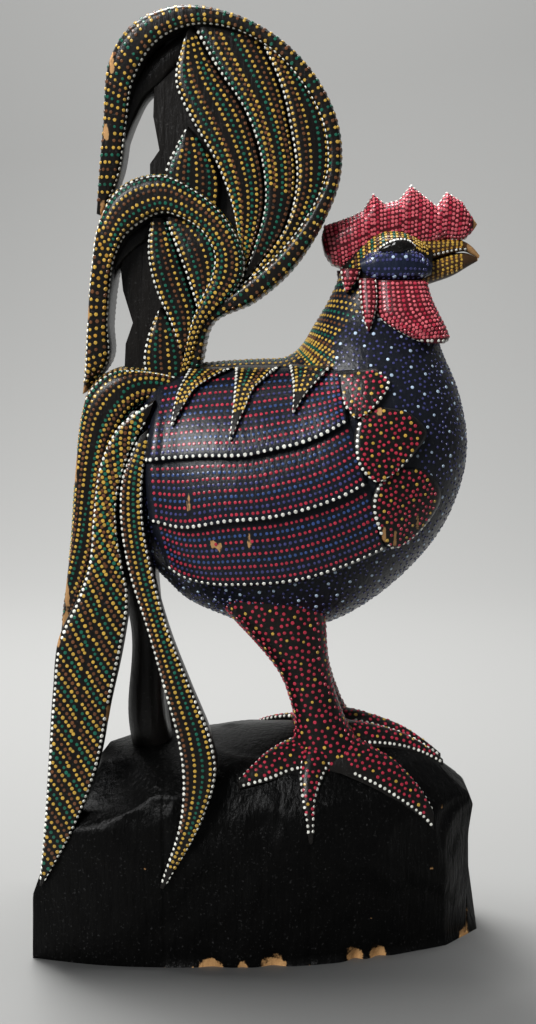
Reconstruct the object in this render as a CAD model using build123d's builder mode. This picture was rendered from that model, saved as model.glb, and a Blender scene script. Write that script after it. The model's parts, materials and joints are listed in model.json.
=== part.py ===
import os
from build123d import *

os.makedirs("parts", exist_ok=True)

# A carved and dot-painted wooden rooster on a rock-shaped plinth, in millimetres.
# +X is the way the beak points, +Z is up, and the rooster's right side faces -Y.
# Every piece stands on the one below it: plinth, legs, trunk, then head and tail.

# Plinth
base_rear_x = -122.0
base_front_x = 122.0
base_half_depth = 59.0
base_face_height = 60.0
mound_rise = 57.0
rear_glue_x = -50.0
front_glue_x = 27.0

# Legs and feet
leg_height = 59.0
leg_offset = 20.0
leg_half_depth = 15.0
toe_height = 6.0

# Trunk and head
body_half_width = 54.0
breast_glue_x = 58.0
skull_half_width = 21.0
beak_half_width = 10.0
comb_half_thickness = 8.0
wattle_half_width = 29.0
wattle_parting = 2.0
eye_radius = 6.0
eye_inset = 4.5
cheek_thickness = 2.0
ear_half_width = 24.0

# Wing layers, shoulder scales and cape points, as thicknesses over the trunk
covert_thickness = 6.5
secondary_thickness = 5.0
primary_thickness = 3.5
scale_thickness = 5.5
cape_thickness = 8.5

# Tail
core_half_depth = 11.0
fan_thickness = 14.0
inner_thickness = 13.0
feather_groove = 1.0
sickle_half_depth = 24.0
second_half_depth = 26.0
third_half_depth = 30.0
block_half_depth = 28.0
ribbon_half_thickness = 7.0
ribbon_relief = 4.0
post_half_depth = 14.0

# Glued joints
glue_line = 0.15
dowel_clearance = 0.1
base_dowel_radius = 6.0
base_dowel_length = 44.0
base_dowel_height = 38.0
base_dowel_offset = 24.0
leg_dowel_radius = 5.0
leg_dowel_length = 44.0
foot_dowel_length = 36.0
trunk_dowel_radius = 5.0
trunk_dowel_length = 40.0
trunk_dowel_offset = 20.0
tail_dowel_radius = 4.0
tail_dowel_length = 30.0
comb_pin_radius = 2.0
comb_pin_length = 16.0

# Levels that the pieces share
ridge_z = base_face_height + mound_rise
body_z = ridge_z + leg_height
block_flank = block_half_depth + glue_line
reach = 400.0

# Plinth stations: x, how much narrower, lower in the face and lower in the ridge
base_stations = [
    (base_rear_x - 2, 12, -2, 34),
    (-85, 3, -21, 15),
    (-32, 0, -17, 5),
    (22, 2, 0, 0),
    (55, 9, 0, 3),
    (88, 21, 2, 13),
    (base_front_x, 36, 8, 38),
]

# Trunk stations over body_z: x, top, bottom, how much narrower
egg_stations = [
    (-67, 114, 62, 34),
    (-61, 129, 45, 21),
    (-46, 138, 20, 11),
    (-25, 141.5, 4, 3),
    (0, 143, -5, 0),
    (25, 144, -4, 0),
    (50, 142, 7, 1),
    (75, 135, 24, 5),
    (95, 123, 46, 14),
    (106, 110, 67, 26),
    (112, 96, 82, 44),
]

# Neck stations over body_z: back point, front point, half width
neck_stations = [
    ((22, 138), (102, 78), 36),
    ((26, 152), (109, 100), 40),
    ((29, 160), (107, 125), 36),
    ((35, 170), (97, 149), 27),
    ((40, 180), (91, 169), 21),
    ((44, 190), (88, 184), 18),
]
neck_glue_station = neck_stations[3]

# Chisel cuts on the plinth's right side: a point on each flat and the way it faces
chisel_cuts = [
    ((-70, -38, 97), (-0.35, -0.50, 0.79)),
    ((-108, -20, 70), (-0.80, -0.15, 0.58)),
    ((114, -20, 80), (0.74, -0.25, 0.62)),
    ((110, -24, 40), (0.72, -0.69, 0.0)),
]


def up(points):
    return [(x, body_z + z) for x, z in points]


def section_plane(first, second, y=0.0):
    # The plane across a limb, through the two points of its side outline.
    across = Vector(second[0] - first[0], 0, second[1] - first[1])
    middle = ((first[0] + second[0]) / 2, y, (first[1] + second[1]) / 2)
    return Plane(middle, x_dir=across, z_dir=across.cross(Vector(0, 1, 0))), across.length


def oval(plane, half_width, half_height):
    # An oval section that always starts on its own x axis, so that sections line up in a loft.
    with BuildSketch(plane) as section:
        with BuildLine():
            EllipticalCenterArc((0, 0), half_width, half_height, 0, arc_size=180)
            EllipticalCenterArc((0, 0), half_width, half_height, 180, arc_size=180)
        make_face()
    return section.sketch


def mound(extra=0.0):
    # The plinth's whole form: upright faces under an elliptical crown, cut level below.
    with BuildPart() as form:
        for x, narrower, lower_face, lower_ridge in base_stations:
            half = base_half_depth - narrower + extra
            face = base_face_height - lower_face
            rise = ridge_z - lower_ridge + extra - face
            with BuildSketch(Plane((x, 0, 0), x_dir=(0, 1, 0), z_dir=(1, 0, 0))):
                with BuildLine():
                    Polyline((-half, face), (-half, -20), (half, -20), (half, face))
                    EllipticalCenterArc((0, face), half, rise, 0, arc_size=180)
                make_face()
        loft()
        split(bisect_by=Plane.XY, keep=Keep.TOP)
    return form.part


def base_profile():
    # The plinth seen from the side, with its sloping rear end and rounded front shoulder.
    top = ridge_z + 10
    with BuildPart() as form:
        with BuildSketch(Plane.XZ.offset(-reach / 2)):
            with BuildLine():
                rear = Spline((base_rear_x, 0), (base_rear_x + 1, 36), (base_rear_x + 14, 72),
                              (base_rear_x + 34, top))
                front = Spline((base_front_x - 34, top), (base_front_x - 7, 82), (base_front_x, 64))
                Line(rear @ 1, front @ 0)
                Line(front @ 1, (base_front_x, 0))
                Line((base_front_x, 0), rear @ 0)
            make_face()
        extrude(amount=reach)
    return form.part


def chisel(point, facing):
    # The waste in front of a flat cut across the plinth.
    with BuildPart() as form:
        with BuildSketch(Plane(point, z_dir=facing)):
            Rectangle(reach, reach)
        extrude(amount=reach / 2)
    return form.part


def egg(extra=0.0):
    # The body and breast as one egg, with upright oval sections along X.
    sections = []
    for x, top, bottom, narrower in egg_stations:
        plane = Plane((x, 0, body_z + (top + bottom) / 2), x_dir=(0, 1, 0), z_dir=(1, 0, 0))
        sections.append(oval(plane, body_half_width - narrower + extra, (top - bottom) / 2))
    with BuildPart() as form:
        loft(sections)
    return form.part


def trunk():
    # The egg with the neck rising from it, its sections turning towards the head.
    sections = []
    for back, front, half_width in neck_stations:
        plane, length = section_plane(*up([back, front]))
        sections.append(oval(plane, length / 2, half_width))
    with BuildPart() as form:
        add(egg())
        loft(sections)
    return form.part


def ribbon(stations):
    # A long feather: rounded sections between its two edges, with its own y and half depth.
    with BuildPart() as form:
        for first, second, y, half_depth in stations:
            plane, width = section_plane(first, second, y)
            with BuildSketch(plane):
                RectangleRounded(width, 2 * half_depth, 0.45 * min(width, 2 * half_depth))
        loft()
    return form.part


def side_prism(outline, near, far, smooth=True):
    # A side outline drawn out on the rooster's right, from near to far off the middle plane.
    with BuildPart() as form:
        with BuildSketch(Plane.XZ.offset(near)):
            with BuildLine():
                if smooth:
                    edge = Spline(*outline)
                    Line(edge @ 1, edge @ 0)
                else:
                    Polyline(*outline, close=True)
            make_face()
        extrude(amount=far - near)
    return form.part


def between(left, right, near, far):
    # A feather plate between two edge lines, both given from the tip down to the root.
    with BuildPart() as form:
        with BuildSketch(Plane.XZ.offset(near)):
            with BuildLine():
                first = Spline(*left)
                second = Spline(*right)
                Line(first @ 0, second @ 0)
                Line(first @ 1, second @ 1)
            make_face()
        extrude(amount=far - near)
    return form.part


def strip(rear, front, depths):
    # A long feather: a side outline between two edges, cut to the depths given at its heights.
    # Each depth row is a height, the nearer y and the farther y.
    with BuildPart() as form:
        with BuildSketch(Plane.XZ.offset(-reach / 2)):
            with BuildLine():
                rear_edge = Spline(*rear)
                front_edge = Spline(*front)
                Line(rear_edge @ 0, front_edge @ 0)
                Line(rear_edge @ 1, front_edge @ 1)
            make_face()
        extrude(amount=reach)
        with BuildSketch(Plane.YZ.offset(-reach / 2)):
            with BuildLine():
                near_edge = Spline(*[(near, z) for z, near, _ in depths])
                far_edge = Spline(*[(far, z) for z, _, far in depths])
                Line(near_edge @ 0, far_edge @ 0)
                Line(near_edge @ 1, far_edge @ 1)
            make_face()
        extrude(amount=reach, mode=Mode.INTERSECT)
    return form.part


def shifted(points, dx, dz=0.0):
    return [(x + dx, z + dz) for x, z in points]


def rod(start, direction, radius, length):
    # A round dowel that starts at a point and runs along a direction.
    with BuildPart() as form:
        with BuildSketch(Plane(start, z_dir=direction)):
            Circle(radius)
        extrude(amount=length)
    return form.part


def centred_rod(middle, direction, radius, length):
    start = Vector(*middle) - Vector(*direction).normalized() * (length / 2)
    return rod(start, direction, radius, length)


def finish(piece, name):
    piece.part.label = name
    export_step(piece.part, f"parts/{name}.step")


def finish_left(piece, name):
    # A piece drawn on the right, turned over to the left.
    with BuildPart() as left:
        mirror(piece.part, about=Plane.XZ)
    finish(left, f"left_{name}")


def finish_pair(piece, name):
    # The right piece as built, and its mirror image on the left.
    finish(piece, f"right_{name}")
    finish_left(piece, name)


def bore(middle, direction, radius, length):
    return centred_rod(middle, direction, radius + dowel_clearance, length + 4 * dowel_clearance)


# Whole forms that several pieces are cut from or seated on
plinth_form = mound()
raised_form = mound(toe_height)
trunk_form = trunk()

# Dowels, each as middle, direction, radius and length
base_dowels = [
    ((x, side * base_dowel_offset, base_dowel_height), (1, 0, 0), base_dowel_radius, base_dowel_length)
    for x in (rear_glue_x, front_glue_x)
    for side in (-1, 1)
]
leg_x = 20.0
hip_dowels = [
    ((leg_x, side * leg_offset, body_z + 6), (0, 0, 1), leg_dowel_radius, leg_dowel_length)
    for side in (-1, 1)
]
foot_x = 34.0
foot_dowels = [
    ((foot_x, side * leg_offset, ridge_z - 10), (0, 0, 1), leg_dowel_radius, foot_dowel_length)
    for side in (-1, 1)
]
breast_dowel_z = body_z + 95
breast_dowels = [
    ((breast_glue_x, y, breast_dowel_z), (1, 0, 0), trunk_dowel_radius, trunk_dowel_length)
    for y in (-trunk_dowel_offset, trunk_dowel_offset)
]
neck_middle = (58.0, 0, body_z + 162.2)
neck_axis = (0.32, 0, 0.95)
neck_dowels = [(neck_middle, neck_axis, trunk_dowel_radius, trunk_dowel_length)]
post_x = -61.0
post_dowels = [((post_x, 0, 92.0), (0, 0, 1), trunk_dowel_radius, trunk_dowel_length)]
tail_root_x = -48.0
tail_dowels = [
    ((tail_root_x, 0, body_z + 138), (0, 0, 1), tail_dowel_radius, tail_dowel_length),
    ((-50.0, 0, body_z + 227), (0, 0, 1), tail_dowel_radius, tail_dowel_length),
    ((30.0, 0, body_z + 245), (1, 0, 0), tail_dowel_radius, 16.0),
    ((-20.0, 0, body_z + 309), (0, 0, 1), tail_dowel_radius, 14.0),
]
comb_pins = [
    ((x, 0, body_z + z), (0, 0, 1), comb_pin_radius, comb_pin_length)
    for x, z in ((62.0, 207.0), (80.0, 209.0))
]

# Plinth: three blocks glued at two upright planes
with BuildPart() as whole_base:
    add(plinth_form)
    add(base_profile(), mode=Mode.INTERSECT)
    for (x, y, z), (facing_x, facing_y, facing_z) in chisel_cuts:
        for side in (-1, 1):
            add(chisel((x, side * y, z), (facing_x, side * facing_y, facing_z)), mode=Mode.SUBTRACT)

rear_plane = Plane.YZ.offset(rear_glue_x)
front_plane = Plane.YZ.offset(front_glue_x)
base_bores = [bore(*dowel) for dowel in base_dowels + foot_dowels + post_dowels]

with BuildPart() as base_rear_block:
    add(whole_base.part)
    split(bisect_by=rear_plane.offset(-glue_line / 2), keep=Keep.BOTTOM)
    add(base_bores, mode=Mode.SUBTRACT)
finish(base_rear_block, "base_rear_block")

with BuildPart() as base_middle_block:
    add(whole_base.part)
    split(bisect_by=rear_plane.offset(glue_line / 2), keep=Keep.TOP)
    split(bisect_by=front_plane.offset(-glue_line / 2), keep=Keep.BOTTOM)
    add(base_bores, mode=Mode.SUBTRACT)
finish(base_middle_block, "base_middle_block")

with BuildPart() as base_front_block:
    add(whole_base.part)
    split(bisect_by=front_plane.offset(glue_line / 2), keep=Keep.TOP)
    add(base_bores, mode=Mode.SUBTRACT)
finish(base_front_block, "base_front_block")

with BuildPart() as base_dowel_set:
    for dowel in base_dowels + post_dowels:
        add(centred_rod(*dowel))
finish(base_dowel_set, "base_dowels")

# Legs: oval shanks from the belly down to the plinth's crown
leg_stations = [
    (body_z + 29, -28, 38, 4),
    (body_z + 12, -20, 36, 3),
    (body_z - 4, -6, 36, 1),
    (body_z - 12, 1, 36.5, 0),
    (body_z - 26, 11, 38.5, -2),
    (ridge_z + 20, 16, 42, -3),
    (ridge_z + 7, 19, 47, -2),
    (ridge_z - 5, 18, 54, 0),
    (ridge_z - 22, 17, 57, 2),
]
leg_bores = [bore(*dowel) for dowel in hip_dowels + foot_dowels]

leg_sections = [
    oval(Plane(((rear + front) / 2, -leg_offset, z)), (front - rear) / 2, leg_half_depth + wider)
    for z, rear, front, wider in leg_stations
]

with BuildPart() as right_leg:
    loft(leg_sections)
    add(plinth_form, mode=Mode.SUBTRACT)
    add(trunk_form, mode=Mode.SUBTRACT)
    add(leg_bores, mode=Mode.SUBTRACT)
finish_pair(right_leg, "leg")

# Feet: four toes, in plan, carved as a raised layer on the crown
foot_outline = [
    (14, -20), (4, -27), (-12, -45), (6, -41), (18, -38), (24, -42), (27, -55), (34, -43),
    (40, -38), (48, -38), (62, -40), (76, -41), (91, -36), (84, -31), (74, -24), (64, -18),
    (80, -12), (102, -5), (80, -5), (60, -6), (46, -8), (30, -8),
]

with BuildPart() as right_foot:
    with BuildSketch(Plane.XY):
        with BuildLine():
            Polyline(*foot_outline, close=True)
        make_face()
    extrude(amount=reach)
    add(raised_form, mode=Mode.INTERSECT)
    add(plinth_form, mode=Mode.SUBTRACT)
    add(right_leg.part, mode=Mode.SUBTRACT)
    add(leg_bores, mode=Mode.SUBTRACT)
finish_pair(right_foot, "foot")

with BuildPart() as leg_dowel_set:
    for dowel in hip_dowels + foot_dowels:
        add(centred_rod(*dowel))
finish(leg_dowel_set, "leg_dowels")

# Trunk: body and breast glued at an upright plane, with the head glued on the neck
neck_plane, _ = section_plane(*up(neck_glue_station[:2]))
breast_plane = Plane.YZ.offset(breast_glue_x)
trunk_bores = [bore(*dowel) for dowel in hip_dowels + breast_dowels + neck_dowels + tail_dowels[:1]]

with BuildPart() as below_neck:
    add(trunk_form)
    split(bisect_by=neck_plane.offset(-glue_line / 2), keep=Keep.BOTTOM)

with BuildPart() as body:
    add(below_neck.part)
    split(bisect_by=breast_plane.offset(-glue_line / 2), keep=Keep.BOTTOM)
    add(trunk_bores, mode=Mode.SUBTRACT)
finish(body, "body")

with BuildPart() as breast:
    add(below_neck.part)
    split(bisect_by=breast_plane.offset(glue_line / 2), keep=Keep.TOP)
    add(trunk_bores, mode=Mode.SUBTRACT)
finish(breast, "breast")

with BuildPart() as trunk_dowel_set:
    for dowel in breast_dowels + neck_dowels:
        add(centred_rod(*dowel))
finish(trunk_dowel_set, "trunk_dowels")

# Head: the top of the neck with an egg-shaped skull
skull_stations = [
    (45, 188, 8, 10),
    (53, 191, 13, 3),
    (63, 194, 16, 0),
    (74, 195, 15.5, 0),
    (84, 195, 12, 5),
    (91, 194, 9, 10),
]


def tapered(stations, half_width):
    # Upright oval sections along X: x, height over body_z, half height and how much narrower.
    sections = []
    for x, z, high, narrower in stations:
        plane = Plane((x, 0, body_z + z), x_dir=(0, 1, 0), z_dir=(1, 0, 0))
        sections.append(oval(plane, half_width - narrower, high))
    with BuildPart() as form:
        loft(sections)
    return form.part


with BuildPart() as whole_head:
    add(trunk_form)
    split(bisect_by=neck_plane.offset(glue_line / 2), keep=Keep.TOP)
    add(tapered(skull_stations, skull_half_width))

with BuildPart() as head:
    add(whole_head.part)
    add([bore(*dowel) for dowel in neck_dowels + comb_pins], mode=Mode.SUBTRACT)
finish(head, "head")

# Comb: a thick toothed plate let down over the skull
comb_outline = up([
    (46, 190), (40, 194), (36, 199), (34, 206), (36, 212), (49, 217), (58, 222), (61, 228),
    (66, 224), (74, 226), (80, 233), (87, 229), (94, 223), (99, 230), (107, 225), (111, 218),
    (115, 213), (111, 208), (106, 205), (94, 205), (86, 200), (66, 196),
])

with BuildPart() as comb:
    add(side_prism(comb_outline, -comb_half_thickness, comb_half_thickness, smooth=False))
    add(whole_head.part, mode=Mode.SUBTRACT)
    add([bore(*dowel) for dowel in comb_pins], mode=Mode.SUBTRACT)
finish(comb, "comb")

with BuildPart() as comb_pin_set:
    for pin in comb_pins:
        add(centred_rod(*pin))
finish(comb_pin_set, "comb_pins")

# Beak: two horn halves, each tapering forward from the face
upper_beak_stations = [
    (84, 200, 8, 0),
    (95, 200.8, 5.3, 2),
    (107, 202, 5, 5),
    (113, 200.5, 3.5, 7),
    (117.5, 198.3, 0.8, 9),
]
lower_beak_stations = [
    (84, 186.2, 6.2, 1),
    (93, 189.2, 5.7, 2.5),
    (104, 192.1, 4.6, 5.5),
    (112, 194.8, 2.2, 7.5),
    (116.5, 196, 0.9, 9),
]

with BuildPart() as upper_beak:
    add(tapered(upper_beak_stations, beak_half_width))
    add(whole_head.part, mode=Mode.SUBTRACT)
    add(comb.part, mode=Mode.SUBTRACT)
finish(upper_beak, "upper_beak")

with BuildPart() as lower_beak:
    add(tapered(lower_beak_stations, beak_half_width))
    add(whole_head.part, mode=Mode.SUBTRACT)
    add(upper_beak.part, mode=Mode.SUBTRACT)
finish(lower_beak, "lower_beak")

# Eyes, cheeks, ears and wattles, made on the right and mirrored
with BuildPart() as right_eye:
    with Locations((72, eye_inset - skull_half_width, body_z + 201)):
        Sphere(eye_radius)
    add(whole_head.part, mode=Mode.SUBTRACT)
    add(comb.part, mode=Mode.SUBTRACT)
finish_pair(right_eye, "eye")

cheek_outline = up([
    (54, 193), (62, 196), (78, 196), (86, 193), (88, 187), (72, 185), (56, 187),
])

with BuildPart() as right_cheek:
    add(side_prism(cheek_outline, 0, reach, smooth=False))
    add(tapered(skull_stations, skull_half_width + cheek_thickness), mode=Mode.INTERSECT)
    add(whole_head.part, mode=Mode.SUBTRACT)
    add(right_eye.part, mode=Mode.SUBTRACT)
    add(upper_beak.part, mode=Mode.SUBTRACT)
    add(lower_beak.part, mode=Mode.SUBTRACT)
finish_pair(right_cheek, "cheek")

ear_lobe_outline = up([(53, 184), (53, 172), (56, 161), (59, 167), (58.5, 184)])
ear_patch_outline = up([(43, 189), (44, 179), (47, 180), (52, 186), (49, 189)])

with BuildPart() as right_ear:
    add(side_prism(ear_lobe_outline, ear_half_width / 2, ear_half_width + 2, smooth=False))
    add(side_prism(ear_patch_outline, ear_half_width / 2, ear_half_width - 2, smooth=False))
    add(whole_head.part, mode=Mode.SUBTRACT)
    add(below_neck.part, mode=Mode.SUBTRACT)
    add(right_cheek.part, mode=Mode.SUBTRACT)
finish_pair(right_ear, "ear")

wattle_outline = up([
    (60, 183), (60, 165), (71, 158), (85, 152.5), (99, 153), (97, 161), (91, 174), (87, 184),
])
wattle_plan = [
    (60, -wattle_parting), (60, -wattle_half_width), (76, -wattle_half_width),
    (90, -wattle_half_width + 5), (100, -wattle_half_width + 14), (100, -wattle_parting),
]

with BuildPart() as right_wattle:
    with BuildSketch(Plane.XY):
        with BuildLine():
            Polyline(*wattle_plan, close=True)
        make_face()
    extrude(amount=2 * reach)
    add(side_prism(wattle_outline, 0, reach, smooth=False), mode=Mode.INTERSECT)
    add(whole_head.part, mode=Mode.SUBTRACT)
    add(below_neck.part, mode=Mode.SUBTRACT)
    add(right_cheek.part, mode=Mode.SUBTRACT)
    add(lower_beak.part, mode=Mode.SUBTRACT)
finish_pair(right_wattle, "wattle")

# Wing layers, scales and cape points: side outlines raised off the egg
covert_edge = [(-57, 91), (-30, 94), (-5, 95), (21, 101), (45, 113)]
secondary_edge = [(-56, 59), (-41, 57), (-18, 61), (8, 64), (34, 71), (55, 81)]
primary_edge = [(-49, 34), (-31, 27), (-5, 27), (21, 30), (44, 37), (66, 46)]
scale_outlines = [
    [(40, 138), (40, 130), (43, 123), (49, 116), (55, 121), (60, 127), (62, 132), (56, 139)],
    [(50, 112), (48, 103), (49, 93), (54, 87), (60, 84), (67, 88), (72, 95), (78, 103), (70, 116), (58, 119)],
    [(60, 79), (57, 70), (60, 59), (63, 52), (67, 49), (75, 53), (83, 61), (89, 69), (84, 86), (72, 88)],
]
cape_outlines = [
    [(-36, 137), (-42, 128), (-45, 110), (-39, 120), (-33, 129), (-25, 134), (-14, 137)],
    [(-12, 137), (-13, 128), (-15, 103), (-7, 120), (-2, 130), (3, 134), (11, 138)],
    [(16, 138), (17, 131), (17, 117), (24, 127), (30, 133), (36, 137)],
]
cape_prisms = [side_prism(up(outline), 0, reach, smooth=False) for outline in cape_outlines]
scale_prisms = [side_prism(up(outline), 0, reach, smooth=False) for outline in scale_outlines]


def wing_prism(upper, lower):
    # The field between two feather edges, both running from the rear to the front.
    with BuildPart() as form:
        with BuildSketch(Plane.XZ):
            with BuildLine():
                top = Spline(*up(upper))
                low = Spline(*up(lower))
                Line(top @ 0, low @ 0)
                Line(top @ 1, low @ 1)
            make_face()
        extrude(amount=reach)
    return form.part


covert_top = [(-46, 131), (-25, 136), (0, 138), (20, 139), (42, 138)]

with BuildPart() as right_wing_coverts:
    add(wing_prism(covert_top, covert_edge))
    add(egg(covert_thickness), mode=Mode.INTERSECT)
    add(trunk_form, mode=Mode.SUBTRACT)
    add(cape_prisms + scale_prisms[:1], mode=Mode.SUBTRACT)
finish_pair(right_wing_coverts, "wing_coverts")

with BuildPart() as right_wing_secondaries:
    add(wing_prism(shifted(covert_edge, 0, -glue_line), secondary_edge))
    add(egg(secondary_thickness), mode=Mode.INTERSECT)
    add(trunk_form, mode=Mode.SUBTRACT)
    add(scale_prisms, mode=Mode.SUBTRACT)
finish_pair(right_wing_secondaries, "wing_secondaries")

with BuildPart() as right_wing_primaries:
    add(wing_prism(shifted(secondary_edge, 0, -glue_line), primary_edge))
    add(egg(primary_thickness), mode=Mode.INTERSECT)
    add(trunk_form, mode=Mode.SUBTRACT)
    add(scale_prisms, mode=Mode.SUBTRACT)
finish_pair(right_wing_primaries, "wing_primaries")

with BuildPart() as right_shoulder_scales:
    add(scale_prisms)
    add(egg(scale_thickness), mode=Mode.INTERSECT)
    add(trunk_form, mode=Mode.SUBTRACT)
finish_pair(right_shoulder_scales, "shoulder_scales")

with BuildPart() as right_cape_points:
    add(cape_prisms)
    add(egg(cape_thickness), mode=Mode.INTERSECT)
    add(trunk_form, mode=Mode.SUBTRACT)
finish_pair(right_cape_points, "cape_points")

# Tail: three arched sickles over a core, each as outer point, inner point and how much shallower
great_sickle_stations = [
    ((-31, 140), (-37, 142), 14),
    ((-25, 161), (-30, 164), 10),
    ((-2, 173), (-8, 183), 4),
    ((17, 189), (9, 198), 1),
    ((33, 213), (24, 217), 0),
    ((42, 237), (34, 238), 0),
    ((41, 262), (33, 260), 0),
    ((29, 287), (22, 282), 0),
    ((11, 305), (6, 299), 0),
    ((-15, 320), (-17, 311), 0),
    ((-41, 324), (-37, 311), 0),
    ((-63, 316), (-53, 301), 1),
    ((-76, 298), (-63, 285), 3),
    ((-81, 264), (-68, 262), 6),
    ((-84, 237), (-73, 237), 10),
    ((-86, 219), (-83, 218), 18),
]
second_sickle_stations = [
    ((-34, 150), (-39, 148), 14),
    ((-27, 163), (-36, 161), 8),
    ((-15, 175), (-31, 175), 4),
    ((-7, 186), (-26, 185), 1),
    ((-7, 197), (-24, 196), 0),
    ((-12, 209), (-27, 204), 0),
    ((-22, 222), (-32, 210), 0),
    ((-35, 232), (-41, 215), 0),
    ((-48, 238), (-50, 217), 0),
    ((-62, 234), (-59, 213), 0),
    ((-73, 225), (-68, 206), 0),
    ((-82, 211), (-74, 195), 1),
    ((-87, 186), (-77, 182), 2),
    ((-91, 159), (-79, 162), 4),
    ((-93, 136), (-80, 141), 8),
    ((-95, 124), (-91, 127), 18),
]
third_rear = [(-42, 132), (-64, 136.5), (-78, 131), (-88, 120), (-93, 106), (-96, 80), (-99, 44), (-105, 2)]
third_front = [(-47, 120), (-62, 122), (-72, 116), (-79, 107), (-85, 94), (-89, 76), (-92, 46), (-103, 2)]
third_depths = [(140, 6), (125, 0), (94, 1), (46, 3), (2, 16)]


def sickle(stations, half_depth):
    return ribbon([
        (*up([outer, inner]), 0.0, half_depth - shallower)
        for outer, inner, shallower in stations
    ])


third_sides = []
for z, shallower in third_depths:
    third_sides.append((body_z + z, shallower - third_half_depth, third_half_depth - shallower))

with BuildPart() as third_sickle:
    add(strip(up(third_rear), up(third_front), third_sides))
    add(trunk_form, mode=Mode.SUBTRACT)
    add(right_wing_coverts.part, mode=Mode.SUBTRACT)
    mirror(right_wing_coverts.part, about=Plane.XZ, mode=Mode.SUBTRACT)
    add(bore(*tail_dowels[0]), mode=Mode.SUBTRACT)
finish(third_sickle, "third_sickle")

with BuildPart() as great_sickle:
    add(sickle(great_sickle_stations, sickle_half_depth))
    add(trunk_form, mode=Mode.SUBTRACT)
    add([bore(*dowel) for dowel in tail_dowels], mode=Mode.SUBTRACT)
finish(great_sickle, "great_sickle")

with BuildPart() as second_sickle:
    add(sickle(second_sickle_stations, second_half_depth))
    add(great_sickle.part, mode=Mode.SUBTRACT)
    add(third_sickle.part, mode=Mode.SUBTRACT)
    add(trunk_form, mode=Mode.SUBTRACT)
    add([bore(*dowel) for dowel in tail_dowels], mode=Mode.SUBTRACT)
finish(second_sickle, "second_sickle")

# Cores: the plain black wood behind the feathers, above and below the second sickle
upper_core_outline = up([
    (-57, 232), (-57, 244), (-52, 251), (-55, 268), (-54, 290), (-48, 305), (-30, 315), (-12, 314),
    (8, 303), (25, 286), (37, 262), (38, 238), (28, 217), (12, 197), (-4, 182), (-15, 190),
    (-16, 205), (-30, 222), (-45, 228),
])
lower_core_outline = up([
    (-72, 134), (-71, 151), (-67, 162), (-72, 179), (-73, 190), (-66, 212), (-46, 222), (-30, 214),
    (-18, 198), (-20, 184), (-30, 170), (-34, 152), (-35, 138), (-38, 130), (-60, 130),
])
tail_bores = [bore(*dowel) for dowel in tail_dowels]

with BuildPart() as upper_tail_core:
    add(side_prism(upper_core_outline, -core_half_depth, core_half_depth, smooth=False))
    add(great_sickle.part, mode=Mode.SUBTRACT)
    add(second_sickle.part, mode=Mode.SUBTRACT)
    add(tail_bores, mode=Mode.SUBTRACT)
finish(upper_tail_core, "upper_tail_core")

with BuildPart() as lower_tail_core:
    add(side_prism(lower_core_outline, -core_half_depth, core_half_depth, smooth=False))
    add(great_sickle.part, mode=Mode.SUBTRACT)
    add(second_sickle.part, mode=Mode.SUBTRACT)
    add(third_sickle.part, mode=Mode.SUBTRACT)
    add(trunk_form, mode=Mode.SUBTRACT)
    add(tail_bores, mode=Mode.SUBTRACT)
finish(lower_tail_core, "lower_tail_core")

# Fan feathers: their left edges, from the tips down to the roots, laid on the core's faces
fan_edges = [
    up([(-37, 308), (-43, 284), (-35, 265), (-24, 247), (-14, 222), (-10, 204)]),
    up([(-34, 312), (-22, 291), (-7, 269), (1, 245), (3, 225), (-4, 197), (-8, 186)]),
    up([(-2, 310), (11, 282), (16, 260), (19, 234), (13, 210), (1, 193), (-6, 184)]),
    up([(10, 304), (26, 280), (35, 262), (36, 240), (26, 216), (10, 196), (0, 184)]),
]
fan_near = core_half_depth + glue_line
fan_far = fan_near + fan_thickness

for number in range(3):
    with BuildPart() as right_fan_feather:
        add(between(fan_edges[number], shifted(fan_edges[number + 1], -feather_groove), fan_near, fan_far))
        add(great_sickle.part, mode=Mode.SUBTRACT)
        add(second_sickle.part, mode=Mode.SUBTRACT)
    finish_pair(right_fan_feather, f"fan_feather_{number + 1}")

small_fan_outline = up([(-36, 261), (-43, 252), (-49, 239), (-46, 228), (-22, 214), (-20, 236), (-28, 252)])

with BuildPart() as right_small_fan_feather:
    add(side_prism(small_fan_outline, fan_near, fan_far - feather_groove, smooth=False))
    add(second_sickle.part, mode=Mode.SUBTRACT)
    add(between(fan_edges[0], fan_edges[1], fan_near - glue_line, fan_far + glue_line), mode=Mode.SUBTRACT)
finish_pair(right_small_fan_feather, "small_fan_feather")

# Inner feathers: three blades under the second sickle's arch
inner_left = up([(-56, 216), (-58, 200), (-55, 182), (-46, 161), (-41, 147)])
inner_middle = up([(-49, 216), (-42, 197), (-36, 180), (-33, 170), (-37, 147)])
inner_right = up([(-38, 218), (-22, 206), (-20, 194), (-24, 182), (-32, 166)])
inner_low = up([(-52, 168), (-58, 157), (-61, 139), (-58, 130), (-40, 130), (-38, 145)])
inner_far = fan_near + inner_thickness

with BuildPart() as right_inner_feathers:
    add(between(inner_left, shifted(inner_middle, -feather_groove), fan_near, inner_far))
    add(between(inner_middle, inner_right, fan_near, inner_far))
    add(side_prism(inner_low, fan_near, inner_far - feather_groove, smooth=False))
    add(great_sickle.part, mode=Mode.SUBTRACT)
    add(second_sickle.part, mode=Mode.SUBTRACT)
    add(third_sickle.part, mode=Mode.SUBTRACT)
    add(trunk_form, mode=Mode.SUBTRACT)
    add(right_wing_coverts.part, mode=Mode.SUBTRACT)
finish_pair(right_inner_feathers, "inner_feathers")

with BuildPart() as tail_dowel_set:
    for dowel in tail_dowels:
        add(centred_rod(*dowel))
finish(tail_dowel_set, "tail_dowels")

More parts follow.
